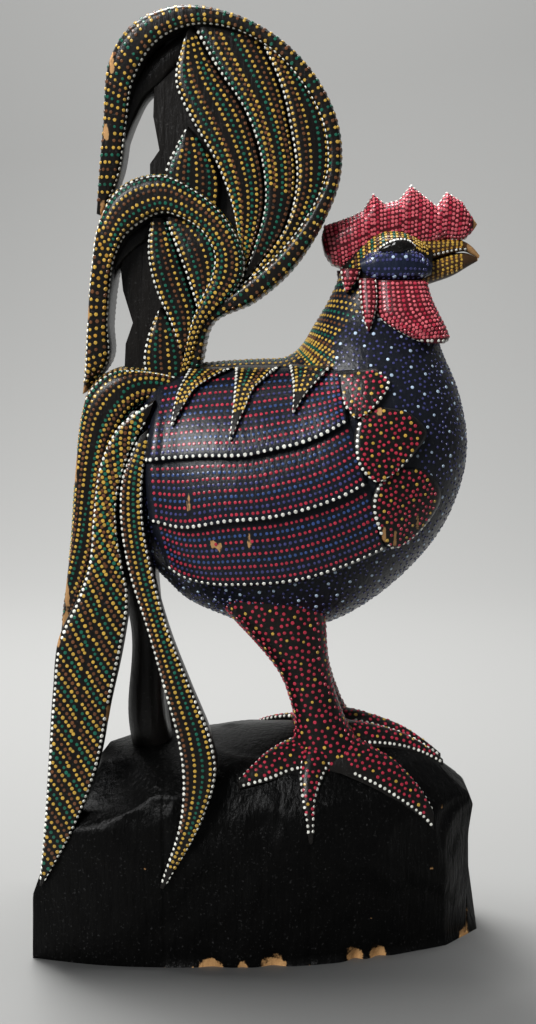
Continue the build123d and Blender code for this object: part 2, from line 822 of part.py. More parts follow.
# Tail post: the block behind the trunk that runs down to the plinth as a strut
post_stations = [
    ((-78, 84), (-42, 84), 0.0, post_half_depth),
    ((-72, 112), (-50, 112), 0.0, post_half_depth),
    ((-71, 150), (-53, 150), 0.0, post_half_depth),
]
block_stations = [
    ((-73, 10), (-55, 10), 12),
    ((-82, 38), (-57, 38), 5),
    ((-87, 68), (-56, 68), 1),
    ((-82, 98), (-54, 98), 0),
    ((-72, 116), (-52, 118), 0),
]

for rear, front, shallower in block_stations:
    post_stations.append((*up([rear, front]), 0.0, block_half_depth - shallower))

with BuildPart() as tail_post:
    add(ribbon(post_stations))
    add(trunk_form, mode=Mode.SUBTRACT)
    add(third_sickle.part, mode=Mode.SUBTRACT)
    add(whole_base.part, mode=Mode.SUBTRACT)
    add([bore(*dowel) for dowel in post_dowels], mode=Mode.SUBTRACT)
finish(tail_post, "tail_post")


def base_half_at(x):
    # The plinth's half depth at x, read between its stations.
    for (x0, narrower0, _, _), (x1, narrower1, _, _) in zip(base_stations, base_stations[1:]):
        if x0 <= x <= x1:
            share = (x - x0) / (x1 - x0)
            return base_half_depth - narrower0 - share * (narrower1 - narrower0)
    return base_half_depth


def flank(swing):
    # The near and far y of a ribbon that stands off the tail block's side by a swing.
    near = block_flank + swing
    return -near, -near - 2 * ribbon_half_thickness


def on_plinth(x, thinner):
    # The near and far y of a ribbon's end that lies in relief on the plinth's face.
    far = base_half_at(x) + ribbon_relief
    return -far + 2 * (ribbon_half_thickness - thinner), -far


def hanging(rear, front, depths, neighbours):
    # A feather that hangs from the tail block to the plinth, cut back to whatever it touches.
    with BuildPart() as form:
        add(strip(rear, front, depths))
        add(third_sickle.part, mode=Mode.SUBTRACT)
        add(tail_post.part, mode=Mode.SUBTRACT)
        add(neighbours, mode=Mode.SUBTRACT)
        add(trunk_form, mode=Mode.SUBTRACT)
        add(whole_base.part, mode=Mode.SUBTRACT)
    return form.part


# The left pair, out of sight behind the right one, hangs a little slimmer and steeper
trailing_rear = up([(-54, 123), (-72, 110), (-82, 90), (-87, 64), (-88, 39), (-92, 16)]) + [
    (-104, 168), (-108, 140), (-111, 108), (-113, 80), (-116.5, 43)]
trailing_front = up([(-58, 112), (-64, 102), (-70, 87), (-74, 67), (-72, 42), (-68, 21)]) + [
    (-71, 172), (-78, 140), (-85, 106), (-95, 80), (-115, 43)]
left_trailing_front = up([(-58, 112), (-64, 102), (-70, 87), (-74, 67), (-73, 42), (-73, 21)]) + [
    (-78, 172), (-85, 140), (-91, 106), (-99, 80), (-115.5, 43)]
trailing_depths = [
    (body_z + 126, *flank(0)), (body_z + 90, *flank(0)), (body_z + 40, *flank(2)), (170, *flank(6)),
    (110, *flank(12)), (80, *on_plinth(-104, 1)), (42, *on_plinth(-116, 3)),
]

with BuildPart() as right_trailing_feather:
    add(hanging(trailing_rear, trailing_front, trailing_depths, []))
finish(right_trailing_feather, "right_trailing_feather")

with BuildPart() as left_trailing_feather:
    add(hanging(trailing_rear, left_trailing_front, trailing_depths, []))
finish_left(left_trailing_feather, "trailing_feather")

drooping_rear = up([(-62, 104), (-71, 82), (-72, 64), (-68, 36)]) + [
    (-58, 180), (-49, 148), (-43, 126), (-40, 105), (-41, 84), (-52, 46)]
drooping_front = up([(-56, 109), (-60, 82), (-60, 62), (-55, 34)]) + [
    (-46, 178), (-34, 148), (-25, 126), (-22, 108), (-28, 86), (-50, 45)]
left_drooping_rear = up([(-62, 104), (-71, 82), (-73, 64), (-73, 36)]) + [
    (-69, 180), (-64, 148), (-58, 126), (-55, 105), (-53, 84), (-58, 46)]
left_drooping_front = up([(-56, 109), (-60, 82), (-61, 62), (-62, 34)]) + [
    (-59, 178), (-50, 148), (-42, 126), (-37, 108), (-36, 86), (-56, 45)]
drooping_depths = [
    (body_z + 112, *flank(1)), (body_z + 64, *flank(3)), (180, *flank(9)), (126, *flank(18)),
    (100, *on_plinth(-32, 0)), (80, *on_plinth(-36, 1)), (44, *on_plinth(-52, 3)),
]

with BuildPart() as right_drooping_feather:
    add(hanging(drooping_rear, drooping_front, drooping_depths,
                [right_trailing_feather.part, right_wing_secondaries.part]))
finish(right_drooping_feather, "right_drooping_feather")

with BuildPart() as left_drooping_feather:
    add(hanging(left_drooping_rear, left_drooping_front, drooping_depths,
                [left_trailing_feather.part, right_wing_secondaries.part]))
finish_left(left_drooping_feather, "drooping_feather")
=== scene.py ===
import bpy
import json
import math
import numpy as np
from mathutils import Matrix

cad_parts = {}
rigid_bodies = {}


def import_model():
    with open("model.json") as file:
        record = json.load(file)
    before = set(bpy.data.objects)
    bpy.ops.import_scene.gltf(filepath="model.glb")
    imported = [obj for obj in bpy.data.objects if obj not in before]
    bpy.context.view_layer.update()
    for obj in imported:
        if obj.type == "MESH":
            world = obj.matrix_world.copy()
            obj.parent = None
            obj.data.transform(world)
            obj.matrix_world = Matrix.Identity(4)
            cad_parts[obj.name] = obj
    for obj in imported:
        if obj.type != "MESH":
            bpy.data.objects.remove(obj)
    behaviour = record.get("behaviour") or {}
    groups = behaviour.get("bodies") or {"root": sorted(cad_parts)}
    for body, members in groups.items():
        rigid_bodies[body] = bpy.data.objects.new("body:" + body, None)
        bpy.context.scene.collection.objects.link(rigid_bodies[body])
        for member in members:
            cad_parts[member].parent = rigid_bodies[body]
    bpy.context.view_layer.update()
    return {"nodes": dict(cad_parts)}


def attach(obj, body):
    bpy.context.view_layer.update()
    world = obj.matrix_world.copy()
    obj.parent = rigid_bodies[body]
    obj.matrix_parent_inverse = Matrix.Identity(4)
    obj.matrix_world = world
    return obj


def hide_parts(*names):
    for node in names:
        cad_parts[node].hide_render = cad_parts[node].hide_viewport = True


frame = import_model()
print("frame loaded:", len(frame["nodes"]), "nodes")

mm = 0.001
trunkLevel = 176.0  # the belly's height over the floor, which most carving is measured from
rng = np.random.default_rng(11)
dotPitch = 2.95  # usual step between dots in a row, in millimetres
dotLoss = 0.45  # wear from which a dot has come off

# Dot colours, in linear light
dotColour = {
    "yellow": (0.58, 0.36, 0.060), "ochre": (0.50, 0.26, 0.035), "green": (0.010, 0.12, 0.075),
    "brown": (0.15, 0.060, 0.024), "white": (0.86, 0.86, 0.78), "red": (0.46, 0.030, 0.060),
    "rose": (0.68, 0.125, 0.155), "blue": (0.036, 0.075, 0.22), "indigo": (0.048, 0.052, 0.17),
    "paleBlue": (0.52, 0.66, 0.84),
}


# Curves and forms

def lifted(points):
    # side-view points given over the belly, moved to their height over the floor
    return [(x, z + trunkLevel) for x, z in points]


def follow(rows, knots, t):
    # cubic Hermite through the rows, with the slope at each row taken from its neighbours
    slopes = np.gradient(rows, knots, axis=0)
    i = np.clip(np.searchsorted(knots, t, side="right") - 1, 0, len(knots) - 2)
    h = knots[i + 1] - knots[i]
    s = ((t - knots[i]) / h)[..., None]
    h = h[..., None]
    return ((2 * s ** 3 - 3 * s ** 2 + 1) * rows[i] + (s ** 3 - 2 * s ** 2 + s) * h * slopes[i]
            + (3 * s ** 2 - 2 * s ** 3) * rows[i + 1] + (s ** 3 - s ** 2) * h * slopes[i + 1])


def spread(points, count):
    # the same curve with evenly spaced points
    points = np.array(points, float)
    run = np.r_[0, np.cumsum(np.linalg.norm(np.diff(points, axis=0), axis=1))]
    return follow(points, run / run[-1], np.linspace(0, 1, count))


def signedPower(value, power):
    # the size is raised to the power and the sign is kept
    return np.sign(value) * np.abs(value) ** power


def carvedForm(stations, across=2.4, deep=2.4, lean=0.0, straight=False):
    # Section carried along a path: each station is outer x, z, inner x, z, middle y and half depth.
    # The section is a superellipse, cos to the power 2/across from inner to outer edge, sin to 2/deep in y,
    # and lean tips its outer edge in y.
    rows = np.array(stations, float)
    middle = (rows[:, 0:2] + rows[:, 2:4]) / 2
    run = np.r_[0, np.cumsum(np.linalg.norm(np.diff(middle, axis=0), axis=1))]
    knots = run / run[-1]

    def at(t, phi):
        t, phi = np.broadcast_arrays(np.asarray(t, float), np.asarray(phi, float))
        t = np.clip(t, 0, 1)
        if straight:
            r = np.stack([np.interp(t, knots, rows[:, k]) for k in range(6)], -1)
        else:
            r = follow(rows, knots, t)
        a = signedPower(np.cos(phi), 2 / across)
        d = signedPower(np.sin(phi), 2 / deep)
        x = (r[..., 0] + r[..., 2]) / 2 + (r[..., 0] - r[..., 2]) / 2 * a
        z = (r[..., 1] + r[..., 3]) / 2 + (r[..., 1] - r[..., 3]) / 2 * a
        y = r[..., 4] + np.maximum(r[..., 5], 0.2) * d + lean * a
        return np.stack([x, y, z], -1)
    return {"at": at, "length": run[-1]}


def edgePair(outer, inner, y, depth, count=14):
    # stations between two edge lines; y and depth are values or lists spread along them
    a = spread(outer, count)
    b = spread(inner, count)
    share = np.linspace(0, 1, count)
    ys = np.interp(share, np.linspace(0, 1, np.size(y)), np.ravel(y))
    ds = np.interp(share, np.linspace(0, 1, np.size(depth)), np.ravel(depth))
    return np.c_[a, b, ys, ds]


def cutForm(cut):
    # a form from a piece's own values: its stations, or two edge lines with the y and half depth between them
    if "stations" in cut:
        stations = cut["stations"]
    else:
        stations = edgePair(cut["outer"], cut["inner"], cut["y"], cut["depth"], cut.get("count", 14))
    return carvedForm(stations, cut["across"], cut["deep"], cut.get("lean", 0.0), cut.get("straight", False))


def normalsAt(form, t, phi):
    # outward normal from the two slopes of the surface, turned away from the section's middle
    e = 2e-3
    du = form["at"](np.minimum(t + e, 1), phi) - form["at"](np.maximum(t - e, 0), phi)
    dv = form["at"](t, phi + 5 * e) - form["at"](t, phi - 5 * e)
    n = np.cross(du, dv)
    n /= np.maximum(np.linalg.norm(n, axis=-1, keepdims=True), 1e-9)
    if form.get("sheet"):
        out = np.broadcast_to(np.array([0, -1.0, 0]), n.shape)
    else:
        out = form["at"](t, phi) - form["at"](t, phi + math.pi)
    return n * np.where((n * out).sum(-1, keepdims=True) < 0, -1, 1)


# Meshes

def tubeArrays(rings):
    # closed skin over a stack of closed rings, with a middle point at each end
    n, m, _ = rings.shape
    verts = np.concatenate([rings.reshape(-1, 3), rings[0].mean(0)[None], rings[-1].mean(0)[None]])
    i, j = np.meshgrid(np.arange(n - 1), np.arange(m), indexing="ij")
    k = (j + 1) % m
    quads = np.stack([i * m + j, i * m + k, (i + 1) * m + k, (i + 1) * m + j], -1).reshape(-1, 4)
    j = np.arange(m)
    k = (j + 1) % m
    tris = np.concatenate([np.stack([k, j, np.full(m, n * m)], -1),
                           np.stack([(n - 1) * m + j, (n - 1) * m + k, np.full(m, n * m + 1)], -1)])
    return outward(verts, quads, tris)


def outward(verts, quads, tris):
    # faces are turned round where the enclosed volume comes out negative
    a = np.concatenate([quads[:, [0, 1, 2]], quads[:, [0, 2, 3]], tris])
    p, q, r = verts[a[:, 0]], verts[a[:, 1]], verts[a[:, 2]]
    if (p * np.cross(q, r)).sum() < 0:
        quads, tris = quads[:, ::-1], tris[:, ::-1]
    return verts, quads, tris


def formArrays(form, rings=60, around=36):
    # rings at even steps along the form, skinned and closed
    t = np.linspace(0, 1, rings)[:, None]
    phi = np.linspace(0, 2 * math.pi, around, endpoint=False)[None]
    return tubeArrays(form["at"](t, phi - 0.17 * np.sin(4 * phi)))  # closer steps on the flats than at the corners


def sheetArrays(form, along=48, down=18, back=2.5):
    # a raised layer: its outer face, and a flat back sunk by a set depth into what carries it
    u = np.linspace(0, 1, along)[:, None]
    v = np.linspace(0, 1, down)[None]
    face = form["at"](u, v)
    under = face[:, ::-1][:, ::3].copy()
    under[..., 1] = np.minimum(under[..., 1] + form["thick"] + back, -1)
    return tubeArrays(np.concatenate([face, under], 1))


domeSides = 8
domeTurn = np.linspace(0, 2 * math.pi, domeSides, endpoint=False)
domeVerts = np.concatenate([
    np.c_[np.cos(domeTurn), np.sin(domeTurn), np.full(domeSides, -0.25)],
    np.c_[0.78 * np.cos(domeTurn), 0.78 * np.sin(domeTurn), np.full(domeSides, 0.25)],
    [[0, 0, 0.40]]])
domeNext = (np.arange(domeSides) + 1) % domeSides
domeQuads = np.stack([np.arange(domeSides), domeNext, domeNext + domeSides, np.arange(domeSides) + domeSides], -1)
domeTris = np.stack([np.arange(domeSides) + domeSides, domeNext + domeSides, np.full(domeSides, 2 * domeSides)], -1)


def dotArrays(dots):
    # one low dome for each dot, stood on its point along its normal
    p = np.concatenate([d[0] for d in dots])
    n = np.concatenate([d[1] for d in dots])
    r = np.concatenate([d[2] for d in dots])
    c = np.concatenate([d[3] for d in dots])
    ref = np.where(np.abs(n[:, 2:3]) > 0.9, np.array([[1.0, 0, 0]]), np.array([[0, 0, 1.0]]))
    tx = np.cross(ref, n)
    tx /= np.linalg.norm(tx, axis=1, keepdims=True)
    ty = np.cross(n, tx)
    v = domeVerts[None]
    verts = p[:, None] + r[:, None, None] * (v[..., 0:1] * tx[:, None] + v[..., 1:2] * ty[:, None]
                                             + v[..., 2:3] * n[:, None])
    count = len(domeVerts)
    step = (np.arange(len(p)) * count)[:, None, None]
    quads = (domeQuads[None] + step).reshape(-1, 4)
    tris = (domeTris[None] + step).reshape(-1, 3)
    return verts.reshape(-1, 3), quads, tris, np.repeat(c, count, 0)


def makePiece(name, shells, dots, ground, nodes, left=False, wear=None):
    # shells and dots become one mesh; a left piece is the right one with y turned over
    verts, quads, tris, paint = [], [], [], []
    base = 0
    for v, q, t in shells:
        verts.append(v)
        quads.append(q + base)
        tris.append(t + base)
        paint.append(np.zeros((len(v), 3)))
        base += len(v)
    shellQuads = sum(len(q) for q in quads)
    shellTris = sum(len(t) for t in tris)
    if dots and wear is not None:
        dots = [tuple(part[wear(d[0]) < dotLoss] for part in d) for d in dots]
    if dots:
        v, q, t, c = dotArrays(dots)
        verts.append(v)
        quads.append(q + base)
        tris.append(t + base)
        paint.append(c)
    verts = np.concatenate(verts)
    quads = np.concatenate(quads)
    tris = np.concatenate(tris)
    paint = np.concatenate(paint)
    if left:
        verts = verts * np.array([1, -1, 1])
        quads = quads[:, ::-1]
        tris = tris[:, ::-1]
    mesh = bpy.data.meshes.new(name)
    mesh.from_pydata((verts * mm).tolist(), [], quads.tolist() + tris.tolist())
    slots = np.zeros(len(mesh.polygons), dtype=np.int32)
    slots[shellQuads:len(quads)] = 1
    slots[len(quads) + shellTris:] = 1
    mesh.polygons.foreach_set("material_index", slots)
    mesh.polygons.foreach_set("use_smooth", np.ones(len(mesh.polygons), dtype=bool))
    layer = mesh.attributes.new("dotPaint", "FLOAT_COLOR", "POINT")
    layer.data.foreach_set("color", np.c_[paint, np.ones(len(paint))].astype(np.float32).ravel())
    rub = mesh.attributes.new("rubbed", "FLOAT", "POINT")
    rubbed = np.zeros(len(verts)) if wear is None else wear(verts * np.array([1, -1 if left else 1, 1]))
    rub.data.foreach_set("value", rubbed.astype(np.float32))
    mesh.materials.append(ground)
    mesh.materials.append(dotPaint)
    mesh.update()
    mesh.set_sharp_from_angle(angle=math.radians(50))
    piece = bpy.data.objects.new(name, mesh)
    bpy.context.scene.collection.objects.link(piece)
    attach(piece, "root")
    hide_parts(*nodes)
    return piece


def makePair(name, shells, dots, ground, wear=None):
    # the same carving on both flanks
    for side in ("right", "left"):
        makePiece(f"{side}_{name}_carved", shells, dots, ground, [f"{side}_{name}"], side == "left", wear)


# Dots

def stamp(form, t, phi, radius, colour):
    # dots at surface points, each a little uneven in size
    p = form["at"](t, phi)
    n = normalsAt(form, t, phi)
    r = radius * rng.uniform(0.86, 1.12, len(p))
    c = np.array([dotColour[colour]] * len(p)).reshape(-1, 3) * rng.uniform(0.75, 1.15, (len(p), 1))
    return p, n, r, c


def dotLine(form, t, phi, pitch, radius, colour, jitter=0.10, keep=None):
    # dots at equal steps along a line drawn on the surface, where keep allows them
    t, phi = np.broadcast_arrays(np.asarray(t, float), np.asarray(phi, float))
    p = form["at"](t, phi)
    run = np.r_[0, np.cumsum(np.linalg.norm(np.diff(p, axis=0), axis=1))]
    count = int(run[-1] / pitch)
    if count < 1:
        return []
    s = (np.arange(count) + 0.5 + rng.uniform(-jitter, jitter, count)) * run[-1] / count
    t, phi = np.interp(s, run, t), np.interp(s, run, phi)
    if keep is not None:
        good = keep(form["at"](t, phi))
        t, phi = t[good], phi[good]
    return [stamp(form, t, phi, radius, colour)] if len(t) else []


def arcFractions(form, t, phiStart, phiEnd, fractions):
    # angles that split a section's arc at the given shares
    phi = np.linspace(phiStart, phiEnd, 60)
    p = form["at"](t, phi)
    run = np.r_[0, np.cumsum(np.linalg.norm(np.diff(p, axis=0), axis=1))]
    return np.interp(np.asarray(fractions) * run[-1], run, phi), run[-1]


def columnDots(form, phiStart, phiEnd, tStart, tEnd, spacing, pitch, radius, cycle):
    # columns that run the length of a feather, evenly spread over its widest section
    widest = max(arcFractions(form, t, phiStart, phiEnd, [0])[1] for t in np.linspace(tStart, tEnd, 9))
    columns = max(1, int(widest / spacing))
    ts = np.linspace(tStart, tEnd, 70)
    table = np.array([arcFractions(form, t, phiStart, phiEnd, (np.arange(columns) + 0.5) / columns)[0] for t in ts])
    widths = np.array([arcFractions(form, t, phiStart, phiEnd, [0])[1] for t in ts])
    dots = []
    for k in range(columns):
        room = widths / columns > 0.62 * spacing if k % 2 else widths / columns > 0.3 * spacing
        if room.sum() > 2:
            first, last = np.where(room)[0][[0, -1]]
            part = slice(first, last + 1)
            dots += dotLine(form, ts[part], table[part, k], pitch, radius, cycle[k % len(cycle)])
    return dots


def rowDots(form, phiStart, phiEnd, tStart, tEnd, rowPitch, pitch, radius, cycle, slant=0.0):
    # rows that cross a feather, slanted by a share of its width
    ts = np.linspace(tStart, tEnd, 200)
    mid = form["at"](ts, (phiStart + phiEnd) / 2)
    run = np.r_[0, np.cumsum(np.linalg.norm(np.diff(mid, axis=0), axis=1))]
    rows = int(run[-1] / rowPitch)
    dots = []
    for k in range(rows):
        t = np.interp((k + 0.5) * run[-1] / rows, run, ts)
        share = np.linspace(0, 1, 24)
        phi, width = arcFractions(form, t, phiStart, phiEnd, share)
        line = t + slant * (share - 0.5) * width * (tEnd - tStart) / run[-1]
        keep = (line >= tStart) & (line <= tEnd)
        if keep.sum() > 2:
            dots += dotLine(form, line[keep], phi[keep], pitch, radius, cycle[k % len(cycle)])
    return dots


def edgeDots(form, phi, pitch=dotPitch, radius=0.98, tStart=0.01, tEnd=0.99, colour="white"):
    # one line of dots along the form at a set angle
    return dotLine(form, np.linspace(tStart, tEnd, 160), phi, pitch, radius, colour, jitter=0.08)


# Materials

def shaderGroup(name, inputs, outputs):
    # an empty node group with its named sockets
    group = bpy.data.node_groups.new(name, "ShaderNodeTree")
    for label, kind, value in inputs:
        group.interface.new_socket(label, in_out="INPUT", socket_type=kind).default_value = value
    for label, kind in outputs:
        group.interface.new_socket(label, in_out="OUTPUT", socket_type=kind)
    return group


def addNode(tree, kind, values=None, **settings):
    # a node with its settings and the values of its sockets
    node = tree.nodes.new(kind)
    for key, value in settings.items():
        setattr(node, key, value)
    for key, value in (values or {}).items():
        node.inputs[key].default_value = value
    return node


def mixColour(tree, factor, a, b):
    # a plain colour goes onto the socket, a node's output is linked
    node = addNode(tree, "ShaderNodeMix", data_type="RGBA")
    for socket, value in ((node.inputs[0], factor), (node.inputs[6], a), (node.inputs[7], b)):
        if isinstance(value, bpy.types.NodeSocket):
            tree.links.new(value, socket)
        else:
            socket.default_value = value if isinstance(value, float) else (*value, 1.0)
    return node.outputs[2]


def makeWoodGroup():
    # wear, grain streaks, specks of dust and a shared bump, all from object coordinates
    group = shaderGroup("carvedWood", [("Rubbed", "NodeSocketFloat", 0.0), ("Relief", "NodeSocketFloat", 0.3)],
                        [("Wear", "NodeSocketFloat"), ("Streak", "NodeSocketFloat"), ("Dust", "NodeSocketFloat"),
                         ("Normal", "NodeSocketVector")])
    link = group.links.new
    source = addNode(group, "NodeGroupInput")
    result = addNode(group, "NodeGroupOutput")
    coords = addNode(group, "ShaderNodeTexCoord")
    broad = addNode(group, "ShaderNodeTexNoise", {"Scale": 95.0, "Detail": 8.0, "Roughness": 0.72})
    fine = addNode(group, "ShaderNodeTexNoise", {"Scale": 760.0, "Detail": 3.0})
    stretch = addNode(group, "ShaderNodeMapping", {"Scale": (1.0, 1.0, 0.14)})
    grain = addNode(group, "ShaderNodeTexNoise", {"Scale": 380.0, "Detail": 4.0, "Distortion": 0.4})
    for noise in (broad, fine):
        link(coords.outputs["Object"], noise.inputs["Vector"])
    link(coords.outputs["Object"], stretch.inputs["Vector"])
    link(stretch.outputs[0], grain.inputs["Vector"])
    total = addNode(group, "ShaderNodeMath", operation="ADD")
    link(source.outputs["Rubbed"], total.inputs[0])
    link(broad.outputs["Fac"], total.inputs[1])
    worn = addNode(group, "ShaderNodeMapRange", {"From Min": 1.02, "From Max": 1.10})
    link(total.outputs[0], worn.inputs["Value"])
    dust = addNode(group, "ShaderNodeMapRange", {"From Min": 0.63, "From Max": 0.74})
    link(fine.outputs["Fac"], dust.inputs["Value"])
    height = addNode(group, "ShaderNodeMath", operation="ADD")
    link(grain.outputs["Fac"], height.inputs[0])
    link(broad.outputs["Fac"], height.inputs[1])
    bump = addNode(group, "ShaderNodeBump", {"Distance": 0.0012})
    link(source.outputs["Relief"], bump.inputs["Strength"])
    link(height.outputs[0], bump.inputs["Height"])
    link(worn.outputs[0], result.inputs["Wear"])
    link(grain.outputs["Fac"], result.inputs["Streak"])
    link(dust.outputs[0], result.inputs["Dust"])
    link(bump.outputs[0], result.inputs["Normal"])
    return group


woodGroup = makeWoodGroup()


def paintedWood(name, ground, lighter, roughness=0.42, relief=0.3, shine=0.25):
    # lacquer over wood: the ground varies along the grain, and wear opens the bare wood under it
    material = bpy.data.materials.new(name)
    material.use_nodes = True
    tree = material.node_tree
    shader = tree.nodes["Principled BSDF"]
    shader.inputs["Specular IOR Level"].default_value = shine
    detail = addNode(tree, "ShaderNodeGroup", node_tree=woodGroup)
    detail.inputs["Relief"].default_value = relief
    rubbed = addNode(tree, "ShaderNodeAttribute", attribute_name="rubbed")
    tree.links.new(rubbed.outputs["Fac"], detail.inputs["Rubbed"])
    coat = mixColour(tree, detail.outputs["Streak"], ground, lighter)
    dusty = mixColour(tree, detail.outputs["Dust"], coat, tuple(0.9 * v + 0.022 for v in lighter))
    bare = mixColour(tree, detail.outputs["Streak"], (0.30, 0.15, 0.055), (0.48, 0.28, 0.12))
    tree.links.new(mixColour(tree, detail.outputs["Wear"], dusty, bare), shader.inputs["Base Color"])
    tree.links.new(detail.outputs["Normal"], shader.inputs["Normal"])
    rough = addNode(tree, "ShaderNodeMapRange", {"To Min": roughness, "To Max": 0.75})
    tree.links.new(detail.outputs["Wear"], rough.inputs["Value"])
    tree.links.new(rough.outputs[0], shader.inputs["Roughness"])
    return material


def makeDotPaint():
    # thick paint dots: colour from the piece's own attribute, thinned and dirtied in patches
    material = bpy.data.materials.new("dotPaint")
    material.use_nodes = True
    tree = material.node_tree
    shader = tree.nodes["Principled BSDF"]
    detail = addNode(tree, "ShaderNodeGroup", node_tree=woodGroup)
    detail.inputs["Relief"].default_value = 0.15
    colour = addNode(tree, "ShaderNodeAttribute", attribute_name="dotPaint")
    dim = mixColour(tree, 0.22, colour.outputs["Color"], (0.02, 0.018, 0.016))
    tree.links.new(mixColour(tree, detail.outputs["Streak"], dim, colour.outputs["Color"]), shader.inputs["Base Color"])
    tree.links.new(detail.outputs["Normal"], shader.inputs["Normal"])
    shader.inputs["Roughness"].default_value = 0.24
    return material


blackLacquer = paintedWood("blackLacquer", (0.0030, 0.0027, 0.0024), (0.011, 0.0095, 0.0085), 0.30)
plinthBlack = paintedWood("plinthBlack", (0.0007, 0.0007, 0.0007), (0.0026, 0.0026, 0.0025), 0.30, 0.6, 0.10)
blueLacquer = paintedWood("blueLacquer", (0.0040, 0.0048, 0.0075), (0.011, 0.013, 0.020), 0.30)
redLacquer = paintedWood("redLacquer", (0.040, 0.004, 0.006), (0.10, 0.010, 0.015), 0.30)
hornBrown = paintedWood("hornBrown", (0.030, 0.015, 0.008), (0.075, 0.040, 0.018))
slateBlue = paintedWood("slateBlue", (0.006, 0.009, 0.020), (0.016, 0.022, 0.046), 0.30)
eyeBlack = paintedWood("eyeBlack", (0.004, 0.004, 0.004), (0.010, 0.009, 0.008), 0.12, 0.05)
bareWood = paintedWood("bareWood", (0.36, 0.19, 0.075), (0.50, 0.30, 0.14), 0.7, 0.4)
dotPaint = makeDotPaint()
print("materials made")

# Trunk and head

trunkCut = {"across": 2.1, "deep": 2.1, "stations": [  # back x, z, front x, z, middle y, half width
    (-66, 290, -67, 238, 0, 16), (-61, 305, -63, 221, 0, 32), (-46, 314, -48, 196, 0, 43),
    (-25, 317, -22, 180, 0, 51), (-3, 318.5, 10, 172, 0, 54), (11, 319, 42, 177, 0, 54),
    (17, 321, 77, 201, 0, 52), (21, 324, 101, 231, 0, 48), (25, 329, 112, 270, 0, 44),
    (29, 336, 107, 301, 0, 37), (35, 346, 97, 325, 0, 28), (40, 356, 91, 345, 0, 22),
    (44, 366, 88, 360, 0, 19)]}
skullCut = {"across": 2.3, "deep": 2.2, "stations": [  # top x, z, bottom x, z, middle y, half width
    (43, 371, 47, 352, 0, 10), (50, 378, 52, 350, 0, 16), (60, 385, 60, 352, 0, 20.5),
    (73, 387, 73, 355, 0, 21), (84, 383, 84, 359, 0, 16), (91, 379, 91, 361, 0, 11)]}
trunk = cutForm(trunkCut)
skull = cutForm(skullCut)


def depthMap(forms, x0=-80, x1=130, z0=160, z1=410):
    # half depth of the carving at each x, z, on cells of one millimetre; holes fill from their neighbours
    field = np.zeros((x1 - x0, z1 - z0))
    t = np.linspace(0, 1, 700)[:, None]
    phi = np.linspace(-math.pi, 0, 420)[None]
    for form in forms:
        p = form["at"](t, phi).reshape(-1, 3)
        cell = np.floor(p[:, [0, 2]] - [x0, z0]).astype(int)
        np.maximum.at(field, (cell[:, 0], cell[:, 1]), -p[:, 1])
    for _ in range(8):
        grown = np.pad(field, 1)
        near = np.stack([grown[1 + i:grown.shape[0] - 1 + i, 1 + j:grown.shape[1] - 1 + j]
                         for i in (-1, 0, 1) for j in (-1, 0, 1)])
        mean = near.sum(0) / np.maximum((near > 0).sum(0), 1)
        field = np.where(field > 0, field * 0.5 + mean * 0.5, np.where((near > 0).sum(0) > 3, mean, 0))

    def depth(x, z):
        gx = np.clip(x - x0 - 0.5, 0, field.shape[0] - 2.001)
        gz = np.clip(z - z0 - 0.5, 0, field.shape[1] - 2.001)
        i, k = gx.astype(int), gz.astype(int)
        fx, fz = gx - i, gz - k
        return ((field[i, k] * (1 - fx) + field[i + 1, k] * fx) * (1 - fz)
                + (field[i, k + 1] * (1 - fx) + field[i + 1, k + 1] * fx) * fz)
    return depth


trunkDepth = depthMap([trunk, skull])


def sheetForm(first, second, thick, edge=0.07):
    # Layer on the trunk: u runs along two edge lines, v from the first to the second,
    # and y is the trunk's own depth plus the layer's thickness, rounded off at every edge.
    a = spread(first, 24)
    b = spread(second, 24)
    knots = np.linspace(0, 1, 24)

    def at(u, v):
        u, v = np.broadcast_arrays(np.asarray(u, float), np.asarray(v, float))
        u, v = np.clip(u, 0, 1), np.clip(v, 0, 1)
        p = follow(a, knots, u) * (1 - v[..., None]) + follow(b, knots, u) * v[..., None]
        rim = np.clip(np.minimum(np.minimum(v, 1 - v), np.minimum(u, 1 - u)) / edge, 0, 1)
        rise = thick(u, v) * (0.45 + 0.55 * np.sqrt(1 - (1 - rim) ** 2))
        return np.stack([p[..., 0], -(trunkDepth(p[..., 0], p[..., 1]) + rise), p[..., 1]], -1)
    return {"at": at, "sheet": True, "thick": 7.0}


def inside(points, outline):
    # even-odd test of side-view points against an outline
    x, z = points[:, 0], points[:, 1]
    poly = np.array(outline, float)
    nxt = np.roll(poly, -1, axis=0)
    span = (poly[:, 1][:, None] > z) != (nxt[:, 1][:, None] > z)
    rise = np.where(np.abs(nxt[:, 1] - poly[:, 1]) < 1e-9, 1e-9, nxt[:, 1] - poly[:, 1])
    cross = (nxt[:, 0] - poly[:, 0])[:, None] * (z - poly[:, 1][:, None]) / rise[:, None] + poly[:, 0][:, None]
    return ((span & (x < cross)).sum(0) % 2) == 1


def scatter(form, tRange, phiRange, gap, keep=None, tries=5000):
    # points thrown on the surface, each kept when it lies clear of those already there
    t = rng.uniform(*tRange, tries)
    phi = rng.uniform(*phiRange, tries)
    p = form["at"](t, phi)
    if keep is not None:
        good = keep(p)
        t, phi, p = t[good], phi[good], p[good]
    taken = []
    for k in range(len(p)):
        if not taken or np.linalg.norm(p[taken] - p[k], axis=1).min() > gap:
            taken.append(k)
    return t[taken], phi[taken]


